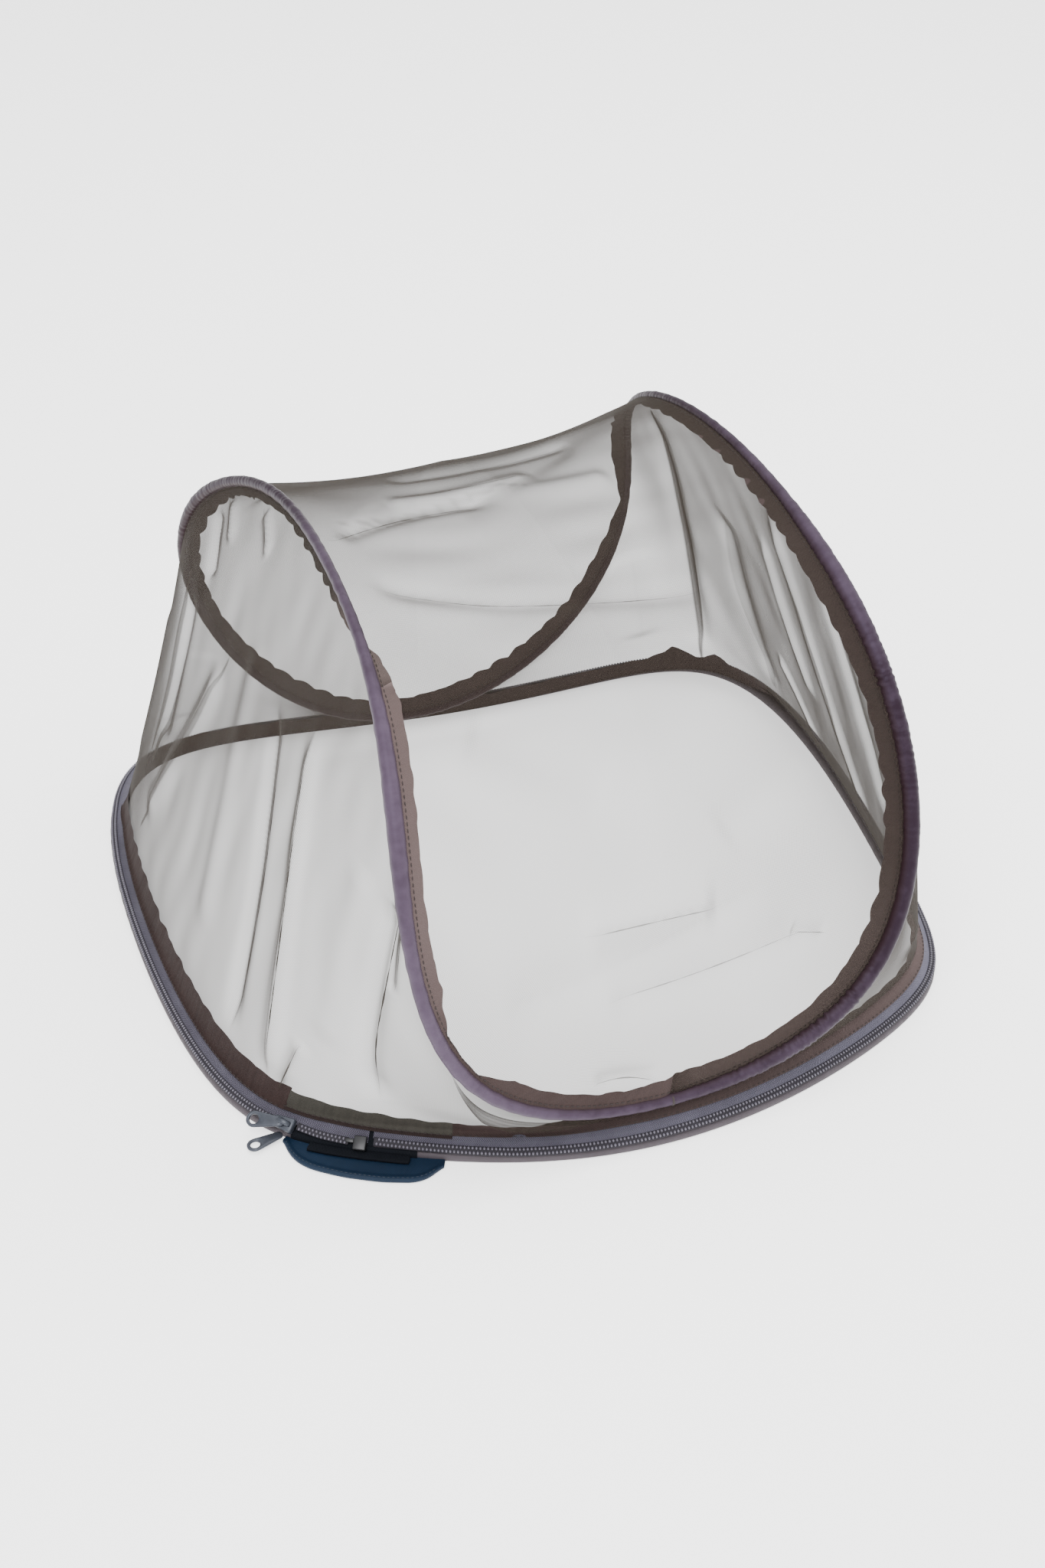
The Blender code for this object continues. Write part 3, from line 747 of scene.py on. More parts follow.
# The welded roof has fewer points than its grid, so each takes the value nearest to it.
def setCover(item, points, cover):
    values = cover.ravel()
    count = len(item.data.vertices)
    if count != len(values):
        spots = np.zeros(count * 3)
        item.data.vertices.foreach_get("co", spots)
        tree = KDTree(len(values))
        for k, point in enumerate(points.reshape(-1, 3) * mm):
            tree.insert(point, k)
        tree.balance()
        values = np.array([values[tree.find(spot)[1]] for spot in spots.reshape(-1, 3)])
    setLayer(item, "cover", values)


# Place of the plain panel, its outward direction, and how far and how dense the cloth is there
def roofCloth(t, share):
    p = netWork
    plain = roofPlain(t, share, p["start"])
    across = roofPlain(t, np.ones_like(t), p["start"]) - roofPlain(t, np.zeros_like(t), p["start"])
    clear = rise((np.linalg.norm(across, axis=-1) * share - p["flatEdge"]) / p["fade"])
    slack = slackLift(plain[..., 0], plain[..., 1], 11, 16, 85.0, 28.0, 1.45)
    cover = p["cover"] * (1.0 + p["uneven"] * slack)
    lift, cover = creaseCloth(plain, roofPlain, roofCreases, roofBands, cover)
    return plain, spineOut(halfTurn(t) * spineShrink), (lift + slack * 0.4) * clear, cover


def endCloth(t, share, creases, bands, seed):
    p = netWork
    plain = endPlain(t, share, p["start"])
    length = np.linalg.norm(hemAt(t) - endPlain(t, np.zeros_like(t), p["start"]), axis=-1)
    edge = np.minimum(length * share + 8.0, length * (1.0 - share) + 2.0)
    clear = rise((edge - p["flatEdge"]) / p["fade"])
    slack = slackLift(plain[..., 1], plain[..., 2], seed, 14, 80.0, 24.0, 0.1)
    cover = p["cover"] * (1.0 + p["uneven"] * slack)
    lift, cover = creaseCloth(plain, endPlain, creases, bands, cover)
    # where the hem tape leans in over the net's lower edge, the net is under it
    under = hemLean(t % 360.0) * (1.0 - rise((length * (1.0 - share) - 6.4) / 0.8))
    return plain, endOut(t, share), (lift + slack * 0.3) * clear, cover * (1.0 - under)


def leftCloth(t, share):
    return endCloth(t, share, leftCreases, leftBands, 7)


def rightCloth(t, share):
    return endCloth(t, share, rightCreases, rightBands, 5)


# A panel is its cloth on a grid of angle round the hoop and share of the way down.
def netPiece(name, node, t, rows, clothAt, closed=False):
    grid, share = np.meshgrid(t, np.linspace(0.0, 1.0, rows), indexing="ij")
    plain, out, lift, cover = clothAt(grid, share)
    points = plain + out * lift[..., None]
    net = gridObject(name, points, netUv(points, closed), netMesh,
                     closedRows=closed, weld=closed, flip=not closed)
    setCover(net, points, cover)
    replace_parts(net, node)
    return net


# Sharp folds: narrow ribbons of doubled net along the pinched creases, thin at their ends
foldWork = {"steps": 120, "half": 0.42, "least": 0.09, "off": 0.35}


def foldRibbons(name, clothAt, creases):
    p = foldWork
    rng = np.random.default_rng(len(creases))
    place = np.linspace(0.0, 1.0, p["steps"])
    ribbons = []
    for places, width, height, line in creases:
        if line < p["least"]:
            continue
        spots = []
        for t, share in places:
            plain, out, lift, cover = clothAt(np.array([float(t)]), np.array([float(share)]))
            spots.append(np.concatenate([plain[0], out[0]]))
        path = smoothLine(np.array(spots))
        run = arcLength(path[:, :3])
        path = np.stack([np.interp(place * run[-1], run, path[:, k]) for k in range(6)], 1)
        depth = (height + np.sign(height) * line * creaseWork["pinch"]) * thinEnds(place)
        out = unit(path[:, 3:])
        centre = path[:, :3] + out * (depth + p["off"] * np.sign(height))[:, None]
        side = unit(np.cross(np.gradient(centre, axis=0), out))
        wave = 0.75 + 0.25 * np.sin(place * run[-1] / 6.0 + rng.uniform(0, 6))
        wave = wave + 0.2 * np.sin(place * run[-1] / 2.3)
        half = p["half"] * (0.6 + 1.6 * line) * np.sin(math.pi * place) ** 0.5 * wave
        points = centre[:, None] + side[:, None] * half[:, None, None] * np.array([[[-1.0], [0.0], [1.0]]])
        shade = np.clip(0.4 + line * 1.3, 0.0, 0.9) * np.clip(np.sin(math.pi * place) * 1.6, 0.0, 1.0)
        uv = flatUv(np.linspace(0, run[-1], p["steps"]), np.array([0.0, 0.4, 0.8]))
        label = name + (str(len(ribbons)) if ribbons else "")
        ribbon = gridObject(label, points, uv, netMesh)
        setCover(ribbon, points, np.repeat(shade[:, None], 3, 1))
        ribbons.append(ribbon)
    return ribbons


roofTurn = np.arange(netWork["roofSteps"]) * 360.0 / netWork["roofSteps"]
endTurn = np.linspace(-89.9, 89.9, netWork["endSteps"])
farTurn = np.linspace(90.1, 269.9, netWork["endSteps"])
roofSheet = netPiece("roofNet", "roof_net", roofTurn, netWork["roofRows"], roofCloth, closed=True)
rightSheet = netPiece("rightNet", "right_net", endTurn, netWork["endRows"], rightCloth)
leftSheet = netPiece("leftNet", "left_net", farTurn, netWork["endRows"], leftCloth)
roofFolds = foldRibbons("roofFolds", roofCloth, roofCreases)
leftFolds = foldRibbons("leftFolds", leftCloth, leftCreases)
rightFolds = foldRibbons("rightFolds", rightCloth, rightCreases)

# Slack of the left panel, doubled, that hangs below the hoop at the front: angle, share of the
# way down the panel where it starts, depth in millimetres
lipPlaces = (
    (243.0, 0.02, 0.4), (245.5, 0.24, 3.6), (248.0, 0.42, 6.4), (251.0, 0.52, 6.0),
    (254.0, 0.54, 4.8), (258.0, 0.44, 3.6), (264.0, 0.06, 0.4),
)
lipWork = {"steps": 90, "rows": 6, "out": 0.8, "down": (0.55, 0.85)}


def lipFold():
    p = lipWork
    first, last = lipPlaces[0][0], lipPlaces[-1][0]
    t = np.linspace(first, last, p["steps"])
    smooth = np.convolve(np.pad(byAngle(lipPlaces, t), 4, mode="edge"), np.ones(9) / 9, mode="valid")
    start = endPlain(t, smooth, netWork["start"]) + endOut(t, smooth) * p["out"]
    down = unit(ringOut(t) * p["down"][0] - np.array([0.0, 0.0, p["down"][1]]))
    share = np.linspace(0.0, 1.0, p["rows"])
    points = start[:, None] + down[:, None] * (byAngle(lipPlaces, t, 2)[:, None] * share)[..., None]
    piece = gridObject("lipFold", points, flatUv(arcLength(start), share * 3.5), netMesh)
    edge = 0.5 + 0.3 * np.abs(share * 2.0 - 1.0) ** 3
    ends = np.clip(np.sin(math.pi * (t - first) / (last - first)) * 2.2, 0.0, 1.0)
    setCover(piece, points, edge * ends[:, None])
    return piece


lip = lipFold()
print("stage: nets")

# Gathers in the satin: angle round the hoop, spread in degrees, depth in millimetres
gathers = (
    (284.0, 9.0, 0.5), (322.0, 12.0, 0.28), (342.0, 14.0, 0.12), (140.0, 14.0, 0.16),
    (165.0, 10.0, 0.12), (85.0, 30.0, 0.12), (30.0, 25.0, 0.10),
)
# Painted light and shade on the satin: angle round the hoop, from 0 shaded dark to 1 lit pale
satinLightAndShade = (
    (0, 0.3), (10, 0.14), (20, -0.1), (60, 0.0), (100, 0.0), (140, -0.1), (160, -0.15), (180, 0.22),
    (200, 0.38), (220, 0.6), (240, 0.7), (252, 0.6), (262, 0.36), (275, 0.1), (285, 0.14),
    (300, 0.05), (312, 0.0), (322, 0.12), (340, 0.38), (350, 0.38), (360, 0.3),
)
# Half thickness of the sleeve: drawn flat over the wire in places
sleeveHalves = (
    (0, 2.7), (10, 2.3), (20, 2.3), (32, 2.4), (108, 2.4), (120, 3.2), (130, 3.5), (142, 3.5),
    (152, 2.9), (190, 2.5), (200, 2.9), (208, 3.6), (216, 4.2), (222, 4.1), (232, 3.3), (244, 3.6),
    (252, 3.3), (262, 2.8), (270, 2.9), (277, 3.6), (283, 4.2), (335, 4.4), (345, 3.9), (352, 3.1),
    (360, 2.7),
)
sleeveWork = {"steps": 2400, "sides": 22, "slack": 0.07, "raised": 0.9}
# How far the tape shows beyond the satin: angle round the hoop, width in millimetres
tapeWidths = (
    (0, 7.6), (22, 8.6), (46, 8.6), (51, 5.0), (54.5, 1.6), (58, 5.5), (64, 9.2), (104, 9.6),
    (111, 7.6), (118, 5.4), (125, 4.8), (131, 5.2), (137, 8.6), (143, 9.8), (150, 8.2), (158, 6.6),
    (165, 5.2), (170, 3.5), (176, 4.4), (184, 5.4), (190, 5.2), (195, 3.8), (198, 2.6), (203, 6.0),
    (207, 7.2), (235, 6.8), (239.5, 1.0), (246, 1.0), (250, 8.6), (262, 9.2), (275, 10.2),
    (298, 10.2), (312, 9.2), (332, 8.9), (346, 7.8), (360, 7.6),
)
# Painted light and shade on the tape round the hoop: from 0 shaded brown to 1 lit pinkish grey
tapeLightAndShade = (
    (0, 0.10), (60, 0.04), (110, 0.05), (188, 0.05), (193, 0.95), (202.8, 1.0), (204.5, 0.3),
    (228, 0.36), (236, 0.28), (240, 0.15), (246, 0.1), (262, 0.09), (269, 0.14), (272, 0.38),
    (298, 0.34), (308, 0.16), (345, 0.14), (360, 0.10),
)
# How strongly its edge is scalloped
tapeRagged = (
    (0, 0.8), (20, 0.7), (60, 0.9), (120, 1.15), (140, 1.2), (185, 1.1), (200, 0.6), (215, 0.45),
    (250, 0.3), (280, 0.5), (300, 0.9), (360, 0.9),
)
hoopTapeWork = {"steps": 1500, "rows": 10, "scallop": 1.25, "lift": 0.85, "flutter": 0.6}


# Points round a path: middle + radius * (cos * aim + sin * side)
def tubeRound(middle, radius, aim, side, turn):
    spoke = np.cos(turn)[None, :, None] * aim[:, None] + np.sin(turn)[None, :, None] * side[:, None]
    return middle[:, None] + radius[..., None] * spoke


def sleevePiece():
    p = sleeveWork
    t = np.arange(p["steps"]) * 360.0 / p["steps"]
    run = arcLength(hoopAt(np.append(t, 360.0)))
    aim = edgeAim(t, spineAt(halfTurn(t) * spineShrink))
    side = np.cross(hoopAlong(t), aim)
    turn = fullTurn(p["sides"])
    u = np.repeat(run[:-1, None], p["sides"], 1)
    rng = np.random.default_rng(3)
    broad, tight = np.zeros_like(u), np.zeros_like(u)
    for k in range(36):
        # waves close on themselves: a whole number of them fit the sleeve's length
        count = rng.integers(60, 200) if k < 16 else rng.integers(280, 560)
        phase = rng.uniform(0, 2 * math.pi, 2)
        lag = phase[0] + 0.7 * np.sin(turn + phase[1])[None]
        wave = np.sin(2 * math.pi * count * u / run[-1] + lag)
        broad, tight = (broad + wave, tight) if k < 16 else (broad, tight + wave)
    depth = np.zeros_like(t)
    for angle, spread, amount in gathers:
        depth = depth + amount * bell((t - angle + 180.0) % 360.0 - 180.0, spread)
    # gathers are deepest where the seam holds them, and the sleeve is drawn in a little there
    seam = 0.35 + 0.65 * np.clip(np.cos(turn + 0.6), 0.0, 1.0)[None]
    radius = byAngle(sleeveHalves, t)[:, None] + p["slack"] * broad / 3.0
    radius = radius + depth[:, None] * seam * tight / 3.2 + 0.2 * np.cos(turn)[None] ** 3
    middle = hoopAt(t) + side * (p["raised"] * bell(t - 158.0, 14.0))[:, None]
    points = tubeRound(middle, radius, aim, side, turn)
    around = np.arange(p["sides"] + 1) * 2 * math.pi * sleeveR / p["sides"]
    piece = gridObject("hoopSleeve", points, flatUv(run, around), hoopSatin,
                       closedRows=True, closedCols=True)
    # The "shade" attribute carries the painted light and shade of the satin.
    setLayer(piece, "shade", np.repeat(byAngle(satinLightAndShade, t), p["sides"]))
    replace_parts(piece, "hoop_sleeve")
    return piece


# Waves of uneven length that close on themselves, from about -1 to 1
def raggedWidth(run, total, seed, low, high, count):
    rng = np.random.default_rng(seed)
    width = np.zeros_like(run)
    for _ in range(count):
        waves = rng.integers(low, high)
        width += np.sin(2 * math.pi * waves * run / total + rng.uniform(0, 2 * math.pi))
    return width / math.sqrt(count)


# Edge of a gathered tape: rounded bumps of uneven length with dips between them, from -1 to 1
def raggedEdge(run, total, seed, bumps):
    rng = np.random.default_rng(seed)
    phase = math.pi * bumps * run / total
    for count in (5, 9, 13, 22):
        phase = phase + 0.35 * np.sin(2 * math.pi * count * run / total + rng.uniform(0, 2 * math.pi))
    small = raggedWidth(run, total, seed + 1, bumps // 2, bumps, 5)
    slow = raggedWidth(run, total, seed + 2, 3, 12, 3)
    size = 0.75 + 0.3 * raggedWidth(run, total, seed + 3, 6, 30, 4)
    return 1.4 * size * (np.abs(np.sin(phase)) ** 0.8 - 0.6) + 0.2 * small + 0.5 * slow


# The tape hangs inside the roof. Round the left peak it swings down toward the left panel,
# and from there to its joint at the front it lies on top of the roof.
def tapeSwing(t):
    return rise((t - 135.0) / 40.0) * (1.0 - rise((t - 193.0) / 9.0))


def tapeTop(t):
    return rise((t - 203.0) / 4.0) * (1.0 - rise((t - 268.4) / 1.2))


def tapeAt(t, away, lift):
    middle = spineAt(halfTurn(t) * spineShrink)
    aim, down = edgeAim(t, middle), edgeAim(t, hemAt(t))
    side = np.cross(hoopAlong(t), aim)
    swing, over = tapeSwing(t), tapeTop(t)
    angle = swing * np.arctan2(-np.sum(down * side, -1), np.sum(down * aim, -1))
    cosine, sine = np.cos(angle)[..., None], np.sin(angle)[..., None]
    reach = np.linalg.norm(middle - hoopAt(t), axis=-1)
    share = np.clip((away - sleeveR - 0.8) / (reach - sleeveR - 0.8), -0.3, 1.0)
    bend = (roofPlain(t, share) - hoopAt(t) - aim * away[..., None]) * (1.0 - swing)[..., None]
    turned = hoopAt(t) + (aim * cosine - side * sine) * away[..., None]
    face = side * cosine + aim * sine
    rest = hoopTapeWork["lift"] * ((2.0 * swing - 1.0) * (1.0 - over) + over)
    facing = np.sign(rest)
    return turned + bend + face * (rest + lift * facing)[..., None], face * facing[..., None]


def hoopTapePiece():
    p = hoopTapeWork
    t = np.arange(p["steps"] + 1) * 360.0 / p["steps"]
    run = arcLength(hoopAt(t))
    scallops = p["scallop"] * byAngle(tapeRagged, t) * raggedEdge(run, run[-1], 8, 124)
    width = np.maximum(byAngle(tapeWidths, t) + scallops, 0.6)
    v = np.linspace(0.0, 1.0, p["rows"])[None]
    away = byAngle(sleeveHalves, t)[:, None] - 1.1 + (width[:, None] + 1.6) * v
    flutter = p["flutter"] * raggedWidth(run, run[-1], 9, 40, 110, 5)[:, None] * v ** 2
    points, _ = tapeAt(t[:, None], away, np.maximum(flutter, -0.5))
    piece = gridObject("hoopTape", points[:-1], flatUv(run, away), brownTape,
                       closedRows=True)
    setLayer(piece, "paintedLight", np.repeat(byAngle(tapeLightAndShade, t[:-1]), p["rows"]))
    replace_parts(piece, "hoop_tape")
    return piece


stitchBall = ballShape(6, 3, (1.15, 0.24, 0.24))


def stitchFrames(along, up):
    return np.stack([along, np.cross(up, along), up], 1)


# One row on each face of the tape, close to the sleeve
def hoopStitches():
    t = evenPlaces(hoopAt, 0.0, 360.0, 3.1)
    places, ups = [], []
    for lift in (0.22, -0.22):
        spots, up = tapeAt(t, byAngle(sleeveHalves, t) + 1.6, np.full_like(t, lift))
        places.append(spots)
        ups.append(up)
    frames = stitchFrames(np.tile(hoopAlong(t), (2, 1)), np.concatenate(ups))
    return repeatObject("hoopStitches", stitchBall, np.concatenate(places), frames,
                        threadDark)


# The sleeve's turned end: a low ring round it at the front
def sleeveJoint():
    place = np.linspace(-1.0, 1.0, 7)
    t = 269.0 + 0.14 * place
    aim = edgeAim(t, spineAt(halfTurn(t) * spineShrink))
    side = np.cross(hoopAlong(t), aim)
    radius = byAngle(sleeveHalves, t) + 0.3 * np.sqrt(np.clip(1.0 - place ** 2, 0.0, 1.0))
    points = tubeRound(hoopAt(t), radius[:, None], aim, side, fullTurn(24))
    uv = flatUv(np.arange(7) * 0.3, np.arange(25) * 1.2)
    return gridObject("sleeveJoint", points, uv, threadDark, closedCols=True)


sleevePiece()
sleeveJoint()
hoopTape = hoopTapePiece()
hoopSeam = hoopStitches()
print("stage: hoop")

# Base: hem tapes, zip and band
patchFrom, patchTo = 215.4, 243.7
slitFrom, slitTo = 231.9, 232.6
hemWork = {"rows": 8, "stepsPerDegree": 4, "waveLength": 1400.0, "lift": 1.0}
# The hem tape, angle round the net from 200 to 580: how far it goes past the net's lower edge,
# up and down
hemOver = (
    (200, 11.0), (213, 10.2), (216, 9.8), (232, 8.4), (243, 7.4), (244.5, 8.2), (252, 7.2),
    (262, 6.4), (275, 5.8), (300, 5.6), (325, 5.6), (335, 6.0), (350, 7.0), (385, 6.0), (400, 4.0),
    (412, 1.4), (425, 0.3), (450, 0.3), (480, 1.6), (505, 5.0), (520, 9.5), (530, 11.0),
    (560, 11.0), (580, 11.0),
)
hemUnder = (
    (200, 2.8), (210, 2.4), (216, 1.2), (225, 1.4), (232, 2.2), (243, 2.8), (255, 3.0), (275, 3.5),
    (300, 3.6), (325, 3.4), (335, 2.0), (350, 1.0), (375, 2.0), (390, 6.0), (410, 9.3), (490, 9.3),
    (505, 6.0), (516, 2.0), (528, 2.8), (580, 2.8),
)
# Painted light and shade on the hem tape: angle round the net, paler where it looks lit
hemLightAndShade = (
    (0, 0.05), (30, 0.02), (200, 0.0), (243, 0.03), (250, 0.08), (262, 0.11), (285, 0.24),
    (305, 0.31), (320, 0.34), (335, 0.25), (350, 0.08), (360, 0.05),
)
# Places where it stands up in a point: angle round the net, spread, height
hemPeaks = (
    (409.0, 6.0, 7.0), (396.5, 3.5, 4.6), (402.0, 3.0, -1.5),
)


# At the rear its lower part hangs down inside, in front of the zip.
def hemRear(t):
    return rise((t - 376.0) / 14.0) * (1.0 - rise((t - 500.0) / 14.0))


def hemSpot(t, far, lift):
    base = hemAt(t)
    slope = math.radians(zipSlope)
    top = np.array([0.0, 0.0, 1.0])
    inward = -ringOut(t) * math.cos(slope) + top * math.sin(slope)
    faceOut = ringOut(t) * math.sin(slope) + top * math.cos(slope)
    lean, rear = hemLean(t)[..., None], hemRear(t)[..., None]
    above = unit(unit(endPlain(t, np.zeros_like(t)) - base) * (1.0 - lean) + inward * lean)
    below = unit(inward * (1.0 - rear) + top * rear)
    direction = np.where(far[..., None] < 0.0, below, above)
    out = unit(endOut(t, np.full_like(t, 0.9)) * (1.0 - lean) + faceOut * lean)
    return base + direction * far[..., None] + out * lift[..., None] * (1.0 - 2.3 * rear)


def hemPiece(name, node, start, stop, material, seed, wave):
    p = hemWork
    t = np.linspace(start, stop, int((stop - start) * p["stepsPerDegree"]))
    run = arcLength(hemAt(t))
    over = byAngle(hemOver, t) + wave * raggedEdge(run, p["waveLength"], seed, 84)
    for angle, spread, height in hemPeaks:
        over = over + height * np.maximum(1.0 - np.abs(t - angle) / spread, 0.0)
    v = np.linspace(0.0, 1.0, p["rows"])[None]
    low = -byAngle(hemUnder, t)[:, None]
    far = low + (over[:, None] - low) * v
    flutter = 0.35 * raggedWidth(run, p["waveLength"], seed + 1, 40, 100, 5)[:, None] * v ** 2
    points = hemSpot(t[:, None], far, p["lift"] + np.maximum(flutter, -0.5))
    piece = gridObject(name, points, flatUv(run, far), material)
    setLayer(piece, "paintedLight", np.repeat(byAngle(hemLightAndShade, t % 360.0), p["rows"]))
    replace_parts(piece, node)
    return piece


# Turned edge of the brown tape that shows under the grey-green length
def hemFold():
    t = np.linspace(patchFrom, patchTo, 130)
    far = np.linspace(-1.2, 0.6, 5) - byAngle(hemUnder, t)[:, None]
    lift = 1.3 + 0.35 * np.sin(np.linspace(0.0, math.pi, 5))[None]
    points = hemSpot(t[:, None], far, lift)
    return gridObject("hemFold", points, flatUv(arcLength(hemAt(t)), far), foldTape)


def hemStitches():
    t = evenPlaces(hemAt, 214.8, 574.3, 3.1)
    far = 0.7 - byAngle(hemUnder, t)
    spots = hemSpot(t, far, np.full_like(t, hemWork["lift"] + 0.3))
    up = unit(spots - hemSpot(t, far, np.zeros_like(t)))
    frames = stitchFrames(ringAlong(t), up)
    return repeatObject("hemStitches", stitchBall, spots, frames, threadDark)


# How far the chain sits down the slope: angle round the net, millimetres
zipLow = (
    (0, 0.0), (150, 0.0), (165, 1.2), (213, 1.2), (218, 0.6), (224, 2.4), (231.9, 3.4),
    (232.3, 0.6), (243, 1.4), (252, 2.2), (262, 1.9), (275, 1.3), (330, 1.2), (345, 0.0),
    (360, 0.0),
)
# Painted light and shade on the zip's tape: angle round the net, from 0 shaded dark to 1 lit pale
zipLightAndShade = (
    (0, 0.3), (150, 0.2), (160, 0.02), (200, 0.06), (215, 0.12), (245, 0.14), (262, 0.2),
    (285, 0.36), (320, 0.62), (335, 0.5), (350, 0.3), (360, 0.3),
)
zipWork = {"low": 1.6, "high": 9.4, "rows": 12, "steps": 1400, "sag": 0.22}
# The closed chain and the open row: from and to angle, and the cloth's two edges up the slope
chainSpan, chainEdges = (232.8, 574.0), (-2.3, 2.3)
rowSpan, rowEdges = (219.2, 228.8), (-1.0, 2.9)


def openSag(t):
    return byAngle(zipLow, np.asarray(t, float) % 360.0)


def zipTapePiece():
    p = zipWork
    t = np.linspace(slitTo, slitFrom + 360.0, p["steps"])
    v = np.linspace(0.0, 1.0, p["rows"])[None]
    low = p["low"] - openSag(t)[:, None]
    across = low + (p["high"] - low) * v
    run = arcLength(zipAt(t, 5.0, 0.0))
    sag = p["sag"] * raggedWidth(run, run[-1], 21, 20, 60, 5)[:, None] * np.sin(math.pi * v)
    points = zipAt(t[:, None], across, sag + 0.05)
    piece = gridObject("zipTape", points, flatUv(run, across), zipCloth)
    setLayer(piece, "shade", np.repeat(byAngle(zipLightAndShade, t % 360.0), p["rows"]))
    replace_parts(piece, "zip_tape")
    return piece


# Dark sheet behind the slit between the tape's two ends: painted shade in the slit, and the handle's dark
# cloth behind it
def slitShadeSheet():
    t = np.linspace(slitFrom - 1.3, slitTo + 1.0, 16)
    across = np.linspace(-2.8, 9.0, 6)
    uv = flatUv(arcLength(ringEdge(t)), across)
    return gridObject("slitShadeSheet", zipAt(t[:, None], across, -0.9), uv, hookTape)


# The dark cloth that the coil is sewn to, closed round its section
def zipWebPiece(name, span, edges):
    start, stop = span
    low, high = edges
    t = np.linspace(start, stop, max(12, int((stop - start) * 2.4)))
    turn = fullTurn(12)
    across = (low + high) * 0.5 + (high - low) * 0.5 * squarer(np.cos(turn), 0.6)
    lift = -0.2 + 0.65 * squarer(np.sin(turn), 0.6)
    points = zipAt(t[:, None], across - openSag(t)[:, None], lift)
    uv = flatUv(arcLength(zipAt(t, 0.0, 0.0)), np.arange(13) * (high - low) * 2.2 / 12)
    return gridObject(name, points, uv, zipWeb, closedCols=True)


# A strip carried round the ring: its section is (out, up) from edge to edge
def sectionStrip(name, start, stop, steps, section, material, slot, flip=False):
    t = np.linspace(start, stop, steps)
    points = ringAt(t[:, None], column(section, 0), column(section, 1))
    uv = flatUv(arcLength(ringEdge(t)), arcLength(np.array(section)))
    return gridObject(name, points, uv, material, flip=flip)


# Coil loops: each row's bright backs, half a pitch apart
def teeth(name, start, stop, rows):
    tooth = ballShape(8, 5, (0.58, 0.8, 0.8))
    origins, frames = [], []
    for k, across in enumerate(rows):
        t = evenPlaces(lambda a: zipAt(a, 0.0, 0.0), start, stop, 1.9)
        t = t + k * 0.5 * (t[1] - t[0])
        up = unit(zipAt(t, 0.0, 1.0) - zipAt(t, 0.0, 0.0))
        origins.append(zipAt(t, across - openSag(t), 0.3))
        frames.append(stitchFrames(ringAlong(t), up))
    return repeatObject(name, tooth, np.concatenate(origins), np.concatenate(frames),
                        zipCoil)


hemBrown = hemPiece("hemTape", "hem_tape", patchTo - 0.15, patchFrom + 360.15,
                    brownTape, 31, 0.6)
hemGreen = hemPiece("hemPatch", "hem_patch", patchFrom, patchTo, greenTape, 41, 0.22)
hemFold()
hemStitches()
zipTapeSheet = zipTapePiece()
slitShadeSheet()
chainWeb = zipWebPiece("chainWeb", chainSpan, chainEdges)
teeth("chainTeeth", 233.0, 573.9, (-1.15, 1.15))
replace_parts(chainWeb, "zip_chain")
# Cloth under the chain, down to the band that it is sewn to
lowerSection = ((-2.6, 6.9), (-1.6, 6.3), (-1.0, 5.6), (-1.2, 4.9), (-2.0, 4.6))
sectionStrip("lowerTape", *chainSpan, 900, lowerSection, lowerTape, "zip_coil")
rowWeb = zipWebPiece("rowWeb", rowSpan, rowEdges)
teeth("rowTeeth", 219.4, 228.6, (-0.2, 1.7))
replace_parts(rowWeb, "zip_open_row")
print("stage: zip")

# Section of the sleeve over the wire: rounded, fuller outside, flat underneath
bandSection = (
    (-0.9, 0.0), (-4.2, 0.0), (-7.4, 0.05), (-8.3, 0.8), (-8.4, 2.2), (-8.0, 3.8), (-6.8, 4.9),
    (-4.8, 5.2), (-2.6, 5.1), (-0.9, 4.4), (-0.05, 3.1), (0.0, 1.8), (-0.2, 0.6),
)
# A dark strip over the band beside the open end of the zip: it is the handle's dark lining there, and its
# near-black colour is painted shade.
liningAndShadeSection = ((0.5, 0.4), (0.62, 2.0), (0.4, 3.6), (-0.7, 5.0), (-2.6, 5.65), (-5.0, 5.75), (-8.2, 4.6))
bandWork = {"steps": 960, "wrinkle": 0.12}


def bandPiece():
    p = bandWork
    t = np.arange(p["steps"]) * 360.0 / p["steps"]
    out, up = column(bandSection, 0), column(bandSection, 1)
    run = arcLength(ringEdge(np.append(t, 360.0)))
    waves = raggedWidth(run[:-1], run[-1], 51, 70, 260, 8)[:, None]
    wrinkle = p["wrinkle"] * waves * np.clip(up / 3.0, 0, 1)[None]
    points = ringAt(t[:, None], out + wrinkle, up + wrinkle * 0.6)
    uv = flatUv(run, arcLength(np.array(bandSection + bandSection[:1])))
    piece = gridObject("baseSleeve", points, uv, baseBand,
                       closedRows=True, closedCols=True, flip=True)
    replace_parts(piece, "base_sleeve")
    return piece


def bandStitches():
    t = evenPlaces(ringEdge, 0.0, 360.0, 3.0)
    up = unit(ringOut(t) * 0.5 + np.array([0.0, 0.0, 1.0]))
    frames = stitchFrames(ringAlong(t), up)
    return repeatObject("bandStitches", stitchBall, ringAt(t, -1.2, 4.72), frames,
                        threadDark)


bandPiece()
# The handle's lining over the band, near-black as painted shade.
sectionStrip("liningAndShadeStrip", 218.4, 239.2, 110, liningAndShadeSection, hookTape, "handle_cloth", flip=True)
bandStitches()
print("stage: base")

